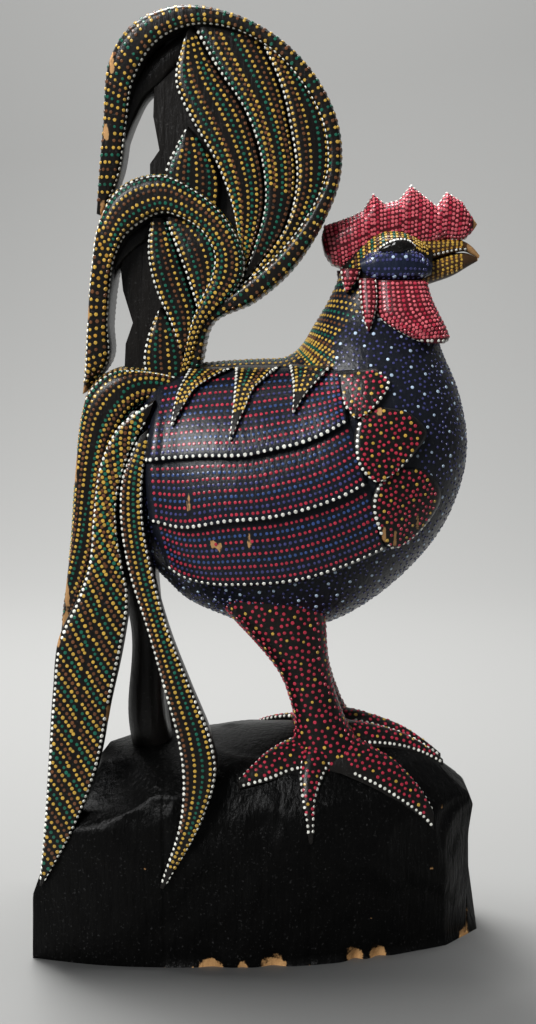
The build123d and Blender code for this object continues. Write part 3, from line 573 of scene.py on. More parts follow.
def speckle(form, tRange, phiRange, bold, boldGap, fine, fineGap, fineRadius, keep=None):
    # sparse bold dots with many fine ones strewn between them
    t, phi = scatter(form, tRange, phiRange, boldGap, keep)
    far = form["at"](t, phi)

    def between(p):
        clear = np.linalg.norm(p[:, None] - far[None], axis=2).min(1) > fineGap
        return clear if keep is None else clear & keep(p)
    dots = [stamp(form, t, phi, 1.0, bold)]
    t, phi = scatter(form, tRange, phiRange, fineGap, between, 20000)
    return dots + [stamp(form, t, phi, fineRadius, fine)]


wingLines = {
    "top": lifted([(-52, 131), (-25, 136), (0, 138), (20, 139), (42, 138)]),
    "covert": lifted([(-60, 91), (-30, 94), (-5, 95), (8, 98), (21, 101), (33, 106), (45, 113)]),
    "secondary": lifted([(-57, 60), (-41, 57), (-18, 61), (8, 64), (34, 71), (44, 75), (55, 81)]),
    "primary": lifted([(-49, 35), (-42, 30), (-31, 27), (-5, 27), (21, 30), (44, 37), (66, 46)]),
}
wingArea = wingLines["top"] + lifted([(62, 136), (78, 103), (90, 69), (72, 50)]) + wingLines["primary"][::-1]


hackleLine = {"low": 312, "x": 39, "bendAt": 330, "slope": 0.93}  # upright up to the bend, then slanting forward
breastSeam = 60  # x of the glue line between body and breast


def hackle(p):
    # the neck's painted rows stop at a line towards the breast
    edge = np.maximum(hackleLine["x"], hackleLine["x"] + hackleLine["slope"] * (p[:, 2] - hackleLine["bendAt"]))
    return (p[:, 2] > hackleLine["low"]) & (p[:, 0] < edge)


def openBreast(p):
    # what neither the wing nor the hackle covers
    return ~inside(p[:, [0, 2]], wingArea) & ~hackle(p)


def trunkDots():
    # specks on the open breast, rows round the neck and lines along the back
    dots = speckle(trunk, (0.02, 0.96), (-math.pi, math.pi), "paleBlue", 7.2, "indigo", 2.35, 0.82, openBreast)
    cycle = ["yellow", "green", "yellow", "yellow", "brown"]
    for side in (-1, 1):
        share = np.linspace(0.0, 1.75, 60)
        for k, rowAt in enumerate(np.linspace(0.60, 0.985, 24)):
            bend = 0.012 * np.sin(share * 1.6)
            dots += dotLine(trunk, np.minimum(rowAt + bend, 0.995), side * share, dotPitch, 0.96, cycle[k % 5],
                            keep=hackle)
        for k, phiHere in enumerate(np.linspace(0.03, 0.50, 6)):
            dots += dotLine(trunk, np.linspace(0.16, 0.60, 60), side * phiHere, dotPitch, 0.96, cycle[k % 5])
    return dots


def seamWear(verts):
    # a pale line of bare wood by the breast's glue line
    return 0.42 * np.exp(-((verts[:, 0] - breastSeam) / 1.2) ** 2) * (verts[:, 2] > 200)


makePiece("trunk_carved", [formArrays(trunk, 90, 72)], trunkDots(), blueLacquer, ["body", "breast"],
          wear=seamWear)


def browDots():
    # short strokes sweep round the eye socket to the beak's root, each one colour
    dots = []
    for side in (-1, 1):
        for k, along in enumerate(np.linspace(0.04, 0.94, 30)):
            middle, reach = np.interp(along, [0.04, 0.18, 0.45, 0.78, 0.94], [1.55, 1.15, 0.80, 0.86, 1.0]), 0.36
            dots += dotLine(skull, along, side * np.linspace(middle - reach, middle + reach, 20), 2.2, 0.9,
                            ["yellow", "green", "yellow", "brown"][k % 4] if along < 0.8 else "yellow", jitter=0.05)
        for low, colour in ((2.45, "indigo"), (2.75, "indigo"), (3.0, "paleBlue")):
            dots += dotLine(skull, np.linspace(0.1, 0.9, 50), side * low, 3.2, 0.95, colour)
    return dots


makePiece("head_carved", [formArrays(skull, 44, 48)], browDots(), blackLacquer, ["head"])
print("trunk and head carved")

# Comb, wattles, ears, cheeks, eyes and beak

combCut = {"across": 3.0, "deep": 2.3, "straight": True, "bareAt": 114.5, "bareReach": 2.6, "stations": [
    # upper x, z, lower x, z, middle y, half depth
    (33, 382, 35, 373, 0, 7), (34.5, 389, 39, 368, 0, 10.5), (42, 391.5, 45, 366, 0, 12.5),
    (49, 394, 51, 369, 0, 13), (55, 397, 56, 371, 0, 12.5), (60, 405.5, 61, 372, 0, 11.5),
    (66, 400.5, 66, 373, 0, 11), (74, 402.5, 73, 374, 0, 10.5), (80, 410, 79, 375, 0, 9.5),
    (87, 404.5, 86, 377, 0, 9.5), (94, 399, 93, 379, 0, 9), (99, 406.5, 98, 381, 0, 8),
    (107, 401.5, 105, 381, 0, 8), (112, 394.5, 109, 382, 0, 6.5), (115.5, 390, 113, 386, 0, 3)]}
comb = cutForm(combCut)


def combDots():
    # upright rows on both faces, white along the teeth and under both ends
    dots = []
    for side in (-1, 1):
        for k, along in enumerate(np.linspace(0.015, 0.985, 44)):
            dots += dotLine(comb, along, side * np.linspace(0.34, 2.9, 30), 2.35, 0.98,
                            "rose" if k % 3 else "red", jitter=0.1)
        dots += dotLine(comb, np.linspace(0.0, 1.0, 300), side * 0.20, 2.7, 0.9, "white")
        for tStart, tEnd in ((0.01, 0.15), (0.84, 0.97)):
            dots += edgeDots(comb, side * 2.72, 2.5, 1.1, tStart, tEnd)
    return dots


makePiece("comb_carved", [formArrays(comb, 150, 32)], combDots(), redLacquer, ["comb"],
          wear=lambda v: 0.8 * np.exp(-((v[:, 0] - combCut["bareAt"]) / combCut["bareReach"]) ** 2))

wattleCut = {
    "outer": [(88, 360), (90, 352), (94, 343), (98, 335), (99.5, 330), (97, 327.5)],
    "inner": [(60, 360), (60, 350), (60.5, 342), (66, 337), (73, 333), (84, 328)],
    "y": [-13, -16.5, -18, -18], "depth": [10.5, 13.5, 14.5, 11], "across": 3.6, "deep": 2.6, "lean": 2.0}
wattle = cutForm(wattleCut)
wattleDots = columnDots(wattle, -2.52, -0.55, 0.01, 0.93, 2.6, 2.4, 1.0, ["rose", "rose", "red"])
wattleDots += edgeDots(wattle, -2.7, 2.7, 0.95) + edgeDots(wattle, -0.36, 2.7, 0.95, colour="rose")
wattleDots += dotLine(wattle, 0.965, np.linspace(-2.7, -0.36, 40), 2.7, 0.95, "white")
makePair("wattle", [formArrays(wattle, 40, 36)], wattleDots, redLacquer)

earLobeCut = {
    "outer": [(60.5, 361), (61, 350), (59.5, 342), (57, 334)],
    "inner": [(51.5, 361), (52, 350), (53.5, 341), (56, 334)],
    "y": [-22, -24.5, -27, -29], "depth": [5, 6, 6, 2.5], "across": 2.6, "deep": 2.3}
earPatchCut = {
    "outer": [(53, 366), (52, 362), (46.5, 354.5)], "inner": [(42, 366), (43, 360), (45, 354)],
    "y": -17.5, "depth": [5, 6, 3], "across": 2.6, "deep": 2.3}
earLobe = cutForm(earLobeCut)
earPatch = cutForm(earPatchCut)
earDots = edgeDots(earLobe, -2.6, 2.6, 0.95) + edgeDots(earLobe, -0.5, 2.6, 0.95)
for turn in (-2.05, -1.57, -1.05):
    earDots += edgeDots(earLobe, turn, 2.4, 0.9, 0.03, 0.86, "rose")
for turn, colour in ((-2.7, "white"), (-2.1, "rose"), (-1.57, "rose"), (-1.0, "rose"), (-0.5, "white")):
    earDots += edgeDots(earPatch, turn, 2.6, 0.9, 0.05, 0.97, colour)
makePair("ear", [formArrays(earLobe, 24, 24), formArrays(earPatch, 20, 24)], earDots, redLacquer)

cheekCut = {"across": 2.6, "deep": 2.2, "stations": [  # upper x, z, lower x, z, middle y, half depth
    (52, 370, 54, 364, -18, 3), (57, 373.5, 58, 361.5, -18.7, 4.4), (66, 375, 66, 360.5, -19, 4.8),
    (76, 375.5, 76, 360.5, -18, 4.8), (84, 374, 84, 361, -15, 4.4), (91, 369, 90, 363, -11, 3.2)]}
cheek = cutForm(cheekCut)
cheekDots = []
for turn in (-2.75, -2.2, -1.75, -1.3, -0.9, -0.4):
    cheekDots += dotLine(cheek, np.linspace(0.05, 0.95, 50), turn, 2.6, 0.95, "indigo", jitter=0.3)
for turn in (-2.4, -1.1):
    cheekDots += dotLine(cheek, np.linspace(0.08, 0.92, 50), turn, 7.5, 1.05, "paleBlue", jitter=0.2)
makePair("cheek", [formArrays(cheek, 32, 28)], cheekDots, slateBlue)

eyeCut = {"across": 2.0, "deep": 2.0, "stations": [  # upper x, z, lower x, z, middle y, half depth
    (60, 375, 60.5, 374, -18, 1), (64, 378.5, 64, 373.2, -18.2, 3), (69, 381.3, 69, 373, -18.2, 4.2),
    (74, 382.3, 74, 373.2, -17.6, 4.3), (79, 380.6, 79, 374.4, -16, 3.4), (82.5, 377, 82, 376, -14.4, 1)]}
pupilCut = {"across": 2.0, "deep": 2.0, "stations": [
    (68, 378.2, 68, 375.8, -22, 0.3), (69.5, 380, 69.5, 374.4, -22, 0.9), (72, 380.7, 72, 373.8, -22, 1.2),
    (74.5, 380, 74.5, 374.4, -21.7, 0.9), (76, 378.2, 76, 376, -21.3, 0.3)]}
eye = cutForm(eyeCut)
pupil = cutForm(pupilCut)
eyeDots = edgeDots(eye, -2.42, 1.9, 0.75, 0.10, 0.95) + edgeDots(eye, -0.72, 1.9, 0.75, 0.03, 0.97)
makePair("eye", [formArrays(eye, 28, 28), formArrays(pupil, 16, 20)], eyeDots, eyeBlack)

upperBeakCut = {"across": 2.4, "deep": 2.3, "bareFrom": 106, "stations": [  # upper x, z, lower x, z, y, half depth
    (82, 384, 82, 368, 0, 10.5), (95, 382.3, 94, 371.8, 0, 8), (104, 382, 103.5, 374.6, 0, 5.6),
    (109.5, 380.6, 109, 375.6, 0, 4), (113.5, 377.8, 113, 374, 0, 2.6), (117.3, 373.6, 116.8, 372, 0, 0.9)]}
lowerBeakCut = {"across": 2.4, "deep": 2.3, "bareFrom": 112, "stations": [
    (82, 368.5, 82, 356, 0, 9.5), (93, 371.8, 93, 359.3, 0, 7.5), (104, 374.8, 104, 363.4, 0, 4.8),
    (111, 374.6, 111, 367.6, 0, 2.9), (116.2, 372.4, 116.2, 370.6, 0, 0.9)]}
upperBeak = cutForm(upperBeakCut)
lowerBeak = cutForm(lowerBeakCut)


def hornDots(form):
    # rows from the root towards the bare tip, and white dots along the gape of the upper half
    turns = np.linspace(0.5, 1.75, 5) if form is upperBeak else np.linspace(0.8, 2.3, 6)
    dots = []
    for side in (-1, 1):
        for k, turn in enumerate(turns):
            dots += dotLine(form, np.linspace(0.10, 0.78, 40), side * turn, 2.5, 0.85,
                            "ochre" if k % 3 == 1 else "yellow")
        if form is upperBeak:
            dots += edgeDots(form, side * 2.12, 2.3, 0.85, 0.06, 0.84)
    return dots


for name, form, cut in (("upper_beak", upperBeak, upperBeakCut), ("lower_beak", lowerBeak, lowerBeakCut)):
    makePiece(f"{name}_carved", [formArrays(form, 36, 28)], hornDots(form), hornBrown, [name],
              wear=lambda v: np.clip((v[:, 0] - cut["bareFrom"]) / 7, 0, 0.75))
print("face carved")

# Wings, shoulder scales and cape

spotDepth = 0.66  # how far a spot is rubbed; bare wood shows from about 0.4


def spotWear(spots):
    # bare wood round side-view spots, each as x, z and its two reaches
    def wear(verts):
        x, z = verts[:, 0], verts[:, 2]
        return sum(spotDepth * np.exp(-((x - a) / p) ** 4 - ((z - b) / q) ** 4) for a, b, p, q in spots)
    return wear


wingWear = spotWear([(-36, 248, 1.8, 9), (-24, 226, 2.2, 3.5), (-5, 228, 1.8, 6), (-20, 224, 1.5, 4)])
scaleWear = spotWear([(64, 231, 1.5, 7), (70, 228, 1.5, 7), (82, 236, 1.5, 7), (61, 294, 2, 3)])
wingCycle = ["red", "blue", "red", "indigo"]


def wingLayer(name, upper, lower, tuck, thick):
    # rows of dots follow the layer's lower edge, and white dots mark that edge
    form = sheetForm([(x, z + tuck) for x, z in upper], lower, thick, 0.06)
    dots = []
    a = form["at"](0.5, np.array([0.0, 1.0]))
    rows = int((abs(a[0, 2] - a[1, 2]) - tuck - 3) / 3.2)
    first = (tuck + 2.0) / abs(a[0, 2] - a[1, 2])
    for k in range(rows):
        v = first + (0.915 - first) * (k + 0.5) / rows
        dots += dotLine(form, np.linspace(0.03, 0.985, 90), v, 2.7, 0.98, wingCycle[k % 4])
    dots += dotLine(form, np.linspace(0.01, 0.99, 90), 0.955, 3.3, 1.0, "white", jitter=0.06)
    makePair(name, [sheetArrays(form, 70, 30)], dots, blueLacquer, wingWear)


wingLayer("wing_coverts", wingLines["top"], wingLines["covert"], 0, lambda u, v: 3.0 + 4.5 * v)
wingLayer("wing_secondaries", wingLines["covert"], wingLines["secondary"], 3, lambda u, v: 1.6 + 4.2 * v)
wingLayer("wing_primaries", wingLines["secondary"], wingLines["primary"], 3, lambda u, v: 0.8 + 3.4 * v)

scaleEdges = [
    ([(40, 138), (39.5, 130), (43, 121), (49, 114)], [(60, 139.5), (67, 132), (63, 125), (56, 118), (49, 114)]),
    ([(57, 119), (50, 112), (48, 103), (49, 93), (54, 86), (60, 82)],
     [(62, 120), (76, 117), (86, 106), (80, 97), (71, 88), (60, 82)]),
    ([(69, 88), (60, 80), (57, 70), (60, 59), (64, 51), (70, 46)],
     [(72, 89), (87, 86), (95, 71), (90, 61), (81, 52), (70, 46)]),
]
scaleShells, scaleDots = [], []
for number, (leftEdge, rightEdge) in enumerate(scaleEdges):
    form = sheetForm(lifted(leftEdge), lifted(rightEdge), lambda u, v: 2.2 + 3.6 * u, 0.1)
    scaleShells.append(sheetArrays(form, 40, 24))
    scaleDots += speckle(form, (0.05, 0.95), (0.10, 0.91), "yellow", 6.2, "red", 2.55, 0.98)
    scaleDots += dotLine(form, np.linspace(0.06, 0.985, 60), 0.045, dotPitch, 0.96, "white")
    rimFrom = 0.62 if number else 0.06  # a lower scale's right rim starts under the one above
    scaleDots += dotLine(form, np.linspace(rimFrom, 0.985, 60), 0.955, dotPitch, 0.96, "white")
makePair("shoulder_scales", scaleShells, scaleDots, blackLacquer, scaleWear)

capeEdges = [
    ([(-37, 139), (-42, 128), (-45, 110)], [(-14, 139), (-25, 134), (-33, 129), (-39, 120), (-45, 110)]),
    ([(-13, 140), (-13, 128), (-15, 103)], [(11, 140), (3, 134), (-2, 130), (-7, 120), (-15, 103)]),
    ([(15, 141), (17, 131), (17, 117)], [(37, 140), (30, 133), (24, 127), (17, 117)]),
]
capeShells, capeDots = [], []
for leftEdge, rightEdge in capeEdges:
    form = sheetForm(lifted(leftEdge), lifted(rightEdge), lambda u, v: 8.0 + 1.2 * u, 0.1)
    capeShells.append(sheetArrays(form, 36, 18))
    capeDots += columnDots(form, 0.12, 0.88, 0.03, 0.94, 3.2, 2.9, 1.0, ["yellow", "green", "yellow", "brown"])
    for v in (0.05, 0.95):
        capeDots += dotLine(form, np.linspace(0.02, 0.985, 60), v, dotPitch, 0.96, "white")
makePair("cape_points", capeShells, capeDots, blackLacquer)
print("wings carved")

# Tail sickles

tailCycle = ["yellow", "green", "yellow", "brown"]


def ribbon(cut):
    # each row gives the outer point, the inner point and how much shallower it is than the full half depth
    rows = [(ox, oz + trunkLevel, ix, iz + trunkLevel, 0, cut["half"] - less)
            for (ox, oz), (ix, iz), less in cut["rows"]]
    return carvedForm(rows, cut["across"], cut["deep"])


greatCut = {"half": 27, "across": 4.2, "deep": 5.0, "rows": [
    ((-35, 127), (-41, 129), 9), ((-31, 140), (-37, 142), 6), ((-25, 161), (-31, 164), 4),
    ((-2, 173), (-9, 183), 2), ((17, 189), (9, 198), 1), ((33, 213), (24, 217), 0), ((42, 237), (34, 238), 0),
    ((41, 262), (33, 260), 0), ((29, 287), (22, 282), 0), ((11, 305), (6, 299), 0), ((-15, 318), (-17, 310), 0),
    ((-41, 321.5), (-37, 310), 0), ((-63, 314), (-53, 301), 1), ((-76, 298), (-63, 285), 4),
    ((-81, 264), (-68, 262), 9), ((-84, 237), (-73, 237), 13), ((-86, 219), (-83, 218), 20)]}
secondCut = {"half": 28.5, "across": 5.0, "deep": 4.0, "rows": [
    ((-38, 133), (-44, 131), 9), ((-34, 146), (-40, 144), 6), ((-27, 163), (-36, 161), 3),
    ((-15, 175), (-31, 175), 2), ((-7, 186), (-26, 185), 1), ((-7, 197), (-24, 196), 0), ((-12, 209), (-27, 204), 0),
    ((-22, 222), (-32, 210), 0), ((-35, 232), (-41, 215), 0), ((-48, 238), (-50, 217), 0),
    ((-62, 237), (-59, 213), 0), ((-74, 230), (-68, 206), 0), ((-83, 215), (-74, 195), 1),
    ((-88, 189), (-77, 182), 4), ((-91, 160), (-79, 162), 8), ((-93, 136), (-80, 141), 11),
    ((-95, 124), (-91, 127), 20)]}
greatSickle = ribbon(greatCut)
secondSickle = ribbon(secondCut)
thirdCut = {
    "outer": [(-42, 310), (-62, 314), (-79, 313), (-90, 303), (-95, 284), (-98, 260), (-101, 224), (-108, 172)],
    "inner": [(-46, 295), (-59, 297), (-67, 290), (-73, 279), (-78, 264), (-81, 246), (-85, 218), (-104, 172)],
    "y": 0, "depth": [24, 30, 30, 29, 28, 27, 18], "count": 18, "across": 5.0, "deep": 4.5}
thirdSickle = cutForm(thirdCut)
rearWear = spotWear([(x, z, 2.2, reach) for x, z, reach in (  # bare patches where the rear edges have been handled
    (-75, 470, 9), (-79, 436, 6), (-82, 397, 8), (-93, 300, 8), (-97, 262, 12), (-103, 198, 18), (-105, 176, 8),
    (-79, 136, 7), (-90, 345, 7))])
greatDots = rowDots(greatSickle, -2.14, 2.14, 0.02, 0.985, 3.7, dotPitch, 0.98, tailCycle)
for side in (-1, 1):
    greatDots += edgeDots(greatSickle, side * 2.32)
upperWebCut = {  # thin wood that closes the upper corner of a window in the tail
    "outer": lifted([(-72, 252), (-72, 264), (-67, 283), (-57, 298), (-40, 311)]),
    "inner": lifted([(-70, 253), (-64, 267), (-58, 277.5), (-50, 284), (-36, 298)]),
    "y": 0, "depth": 13, "across": 5.0, "deep": 2.4}
lowerWebCut = {
    "outer": lifted([(-81, 158), (-80, 178), (-78, 195), (-71, 209), (-60, 216)]),
    "inner": lifted([(-80, 157), (-78.5, 174), (-74.5, 189), (-67, 197), (-56, 205)]),
    "y": 0, "depth": 13, "across": 5.0, "deep": 2.4}
upperWeb = cutForm(upperWebCut)
lowerWeb = cutForm(lowerWebCut)
makePiece("great_sickle_carved", [formArrays(greatSickle, 150, 48), formArrays(upperWeb, 40, 24)], greatDots,
          blackLacquer, ["great_sickle"], wear=rearWear)
secondDots = []
for side in (-1, 1):
    secondDots += columnDots(secondSickle, side * 2.14, side * 1.02, 0.02, 0.66, 3.4, 2.9, 0.98, tailCycle)
    secondDots += rowDots(secondSickle, side * 2.14, side * 1.02, 0.66, 0.985, 3.5, 3.1, 1.12,
                          ["yellow", "ochre", "yellow", "brown"])
    for turn in (0.88, 2.30):
        secondDots += edgeDots(secondSickle, side * turn)
secondDots += columnDots(secondSickle, -0.62, 0.62, 0.02, 0.97, 3.6, 3.0, 0.98, tailCycle)
makePiece("second_sickle_carved", [formArrays(secondSickle, 130, 48), formArrays(lowerWeb, 40, 24)], secondDots,
          blackLacquer, ["second_sickle"], wear=rearWear)
thirdDots = columnDots(thirdSickle, -2.35, 2.35, 0.02, 0.97, 3.4, dotPitch, 1.0, ["green", "yellow", "brown", "yellow"])
for side in (-1, 1):
    thirdDots += edgeDots(thirdSickle, side * 0.72, tEnd=0.3) + edgeDots(thirdSickle, side * 2.48)
makePiece("third_sickle_carved", [formArrays(thirdSickle, 90, 44)], thirdDots, blackLacquer, ["third_sickle"],
          wear=rearWear)

# Feathers inside the sickles, on both faces of the tail's core

fanEdges = [lifted(e) for e in (
    [(-37, 308), (-43, 284), (-35, 265), (-24, 247), (-14, 222), (-10, 204)],
    [(-34, 312), (-22, 291), (-7, 269), (1, 245), (3, 225), (-4, 197), (-8, 186)],
    [(-2, 310), (11, 282), (16, 260), (19, 234), (13, 210), (1, 193), (-6, 184)],
    [(10, 304), (26, 280), (35, 262), (36, 240), (26, 216), (10, 196), (0, 184)])]


def feather(outer, inner, y, depths, across=5.0):
    # a flat blade between two edge lines, its outer edge tipped towards the core
    return carvedForm(edgePair(outer, inner, y, depths), across=across, deep=3.6, lean=1.2)


def plume(name, forms, cycle):
    # feathers laid side by side: white dots on each raised left edge, columns of dots beyond it
    shells = [formArrays(form, 60, 30) for form in forms]
    dots = []
    for form in forms:
        dots += edgeDots(form, -2.52, dotPitch, 0.98, 0.02, 0.98)
        dots += columnDots(form, -2.34, -0.70, 0.02, 0.98, 3.3, 2.9, 0.96, cycle)
    makePair(name, shells, dots, blackLacquer)


for number in range(3):
    form = feather(fanEdges[number + 1], fanEdges[number], -14.5, [6, 8.0, 8.5, 8.0, 7], 6.0)
    plume(f"fan_feather_{number + 1}", [form], tailCycle[number:] + tailCycle[:number])
smallFan = feather(lifted([(-36, 262), (-28, 252), (-20, 236), (-22, 214)]),
                   lifted([(-37, 262), (-43, 252), (-49, 239), (-46, 226)]), -13.5, [5, 8, 8, 7])
plume("small_fan_feather", [smallFan], ["green", "yellow", "brown"])
innerLines = [lifted(e) for e in (
    [(-56, 216), (-58, 200), (-55, 182), (-46, 161), (-41, 147)],
    [(-49, 216), (-42, 197), (-36, 180), (-33, 170), (-37, 147)],
    [(-38, 218), (-22, 206), (-20, 194), (-24, 182), (-32, 166)])]
innerForms = [feather(innerLines[k + 1], innerLines[k], -14, [6, 8.4, 8.4, 7]) for k in range(2)]
innerForms.append(feather(lifted([(-51, 170), (-40, 150), (-38, 140), (-40, 130)]),
                          lifted([(-52, 170), (-58, 157), (-61, 140), (-58, 130)]), -13.5, [5, 8, 8, 7]))
plume("inner_feathers", innerForms, ["yellow", "green", "brown"])
print("tail carved")

# Feathers that hang down both flanks

hanging = {
    "trailing_feather": {
        "rear": [(-54, 299), (-72, 286), (-82, 266), (-86, 240), (-89, 214), (-96, 194), (-104, 178), (-108.5, 145),
                 (-111, 108), (-113, 80), (-116.5, 43)],
        "front": [(-57, 290), (-64, 278), (-70, 263), (-74, 243), (-72, 218), (-68, 197), (-71, 172), (-78, 140),
                  (-85, 106), (-95, 80), (-115, 43)],
        "leftFront": [(-57, 290), (-64, 278), (-70, 263), (-74, 243), (-73, 218), (-73, 197), (-78, 172), (-85, 140),
                      (-91, 106), (-99, 80), (-115.5, 43)],
        "y": [-35, -35, -35.5, -37, -39, -41.5, -44, -47, -49.5, -49], "depth": [5, 7, 7, 7, 7, 7, 7, 7, 6, 4]},
    "drooping_feather": {
        "rear": [(-62, 280), (-71, 258), (-72, 240), (-68, 212), (-58, 180), (-49, 148), (-43, 126), (-40, 105),
                 (-41, 84), (-52, 46)],
        "front": [(-56, 285), (-60, 258), (-60, 238), (-55, 210), (-46, 178), (-34, 148), (-25, 126), (-22, 108),
                  (-28, 86), (-50, 45)],
        "leftRear": [(-62, 280), (-71, 258), (-73, 240), (-73, 212), (-69, 180), (-64, 148), (-58, 126), (-55, 105),
                     (-53, 84), (-58, 46)],
        "leftFront": [(-56, 285), (-60, 258), (-61, 238), (-62, 210), (-59, 178), (-50, 148), (-42, 126), (-37, 108),
                      (-36, 86), (-56, 45)],
        "y": [-36, -37, -38, -40, -43, -46, -50, -53.5, -56, -57, -58.4], "depth": [5, 7, 7, 7, 7, 7, 7, 7, 7, 6, 4]},
}
for name, lines in hanging.items():
    for side in ("right", "left"):
        rear = lines.get("leftRear", lines["rear"]) if side == "left" else lines["rear"]
        front = lines["leftFront"] if side == "left" else lines["front"]
        form = carvedForm(edgePair(rear, front, lines["y"], lines["depth"], 26), across=6.0, deep=4.0)
        if name == "trailing_feather":
            dots = rowDots(form, -2.24, -0.90, 0.02, 0.98, 4.3, 2.8, 1.1, tailCycle, -0.8)
        else:
            dots = columnDots(form, -2.24, -0.90, 0.02, 0.98, 3.4, 2.8, 1.0, tailCycle)
        for turn in (-2.38, -0.76):
            dots += edgeDots(form, turn, 3.0, 1.04)
        makePiece(f"{side}_{name}_carved", [formArrays(form, 90, 44)], dots, blackLacquer, [f"{side}_{name}"],
                  side == "left", rearWear)

# Legs and feet

legCut = {"middle": -20, "half": 15, "rows": [  # z, rear x, front x and how much wider than the half
    (205, -28, 38, 4), (188, -20, 36, 3), (172, -6, 36, 1), (164, 1, 36.5, 0), (150, 11, 38.5, -2),
    (137, 16, 42, -3), (124, 19, 47, -2), (112, 18, 54, 0), (95, 17, 57, 2)]}
leg = carvedForm([(rear, z, front, z, legCut["middle"], legCut["half"] + wider)
                  for z, rear, front, wider in legCut["rows"]], across=2.3, deep=2.2)
legDots = speckle(leg, (0.10, 0.95), (-math.pi, math.pi), "yellow", 8.0, "red", 3.0, 1.05)
for turn in (-2.85, -0.3):
    legDots += edgeDots(leg, turn, 3.4, 1.0, 0.12, 0.97, "red")
makePair("leg", [formArrays(leg, 50, 40)], legDots, blackLacquer)

plinthStations = np.array([  # x, half depth, height of the upright face, height of the ridge
    (-124, 47, 62, 83), (-85, 56, 81, 102), (-32, 59, 77, 112), (22, 57, 60, 117), (55, 50, 60, 114), (88, 38, 58, 104),
    (124, 23, 52, 79)], float)


def plinthAt(x):
    # half depth, face height and ridge height at x, on a smooth curve through the stations
    knots = plinthStations[:, 0]
    return follow(plinthStations[:, 1:], knots, np.clip(x, knots[0], knots[-1]))


def moundHeight(x, y):
    # half an ellipse across the plinth, from the top of the upright face to the ridge
    row = plinthAt(np.asarray(x, float))
    return row[..., 1] + (row[..., 2] - row[..., 1]) * np.sqrt(np.clip(1 - (y / row[..., 0]) ** 2, 0, 1))


toeSink = 2.5  # how deep a toe's belly lies in the mound


def toeForm(path, widths, heights):
    # Section carried along a line drawn on the mound: half an ellipse above the mound and a shallow belly in it.
    plan = spread(path, 16)
    knots = np.linspace(0, 1, 16)
    share = np.linspace(0, 1, len(widths))

    def at(t, phi):
        t, phi = np.broadcast_arrays(np.asarray(t, float), np.asarray(phi, float))
        t = np.clip(t, 0, 1)
        p = follow(plan, knots, t)
        ahead = follow(plan, knots, np.minimum(t + 0.02, 1)) - follow(plan, knots, np.maximum(t - 0.02, 0))
        ahead = ahead / np.linalg.norm(ahead, axis=-1, keepdims=True)
        w = np.interp(t, share, widths)
        h = np.interp(t, share, heights)
        up = np.where(np.sin(phi) > 0, h, toeSink) * np.sin(phi)
        x = p[..., 0] - ahead[..., 1] * w * np.cos(phi)
        y = p[..., 1] + ahead[..., 0] * w * np.cos(phi)
        return np.stack([x, y, moundHeight(x, y) + up], -1)
    return {"at": at}


toeCuts = [
    {"path": [(36, -24), (14, -33), (1, -41), (-11, -47.5)], "widths": [11, 9, 6, 1.2], "heights": [7, 4, 4, 1.5]},
    {"path": [(36, -22), (29, -36), (26, -48), (27, -55.4)], "widths": [11, 8, 5, 1.2], "heights": [9, 8, 6, 2]},
    {"path": [(34, -24), (52, -29), (74, -32), (94, -33.5)], "widths": [12, 9, 6, 1.2], "heights": [9, 8.5, 7, 2]},
    {"path": [(34, -18), (60, -12), (82, -8), (102, -5)], "widths": [11, 7.5, 4.5, 1.2], "heights": [9, 8, 6, 2]},
]
footShells, footDots = [], []
for cut in toeCuts:
    toe = toeForm(**cut)
    footShells.append(formArrays(toe, 36, 28))
    footDots += speckle(toe, (0.2, 0.93), (0.62, math.pi - 0.62), "yellow", 8.0, "red", 2.9, 1.0)
    for turn in (0.30, math.pi - 0.30):
        footDots += edgeDots(toe, turn, 3.0, 0.98, 0.3, 0.99)
makePair("foot", footShells, footDots, blackLacquer)
print("legs and feet carved")

# Plinth, hewn with a chisel

plinthCut = {
    "ends": 124, "seams": (-50, 27), "markLimit": 1.6,  # half length, glue lines and the deepest small tool mark
    "flats": [((-70, -38, 97), (-0.35, -0.50, 0.79)), ((-108, -20, 70), (-0.80, -0.15, 0.58)),
              ((114, -20, 80), (0.74, -0.25, 0.62)), ((110, -24, 40), (0.72, -0.69, 0.0))],  # a point and its facing
    "scoops": [(-72, 88, 26, 12, 2.6), (-20, 82, 27, 15, 2.6), (6, 70, 16, 12, 2.0), (48, 70, 22, 16, 2.6),
               (84, 62, 16, 13, 2.0)],  # x, z, reach along, reach up and depth, under the shoulder of each long side
    "nicks": [(-5.5, 81), (99, 78), (-15, 31), (34, 31), (93, 46), (-60, 55), (60, 22)],
    "chips": [(-25, 12, 4.0), (-9, 5, 2.0), (7, 12, 6.0), (51, 8, 8.0), (64, 8, 6.0), (114, 6, 4.0)],  # x, width, depth
}


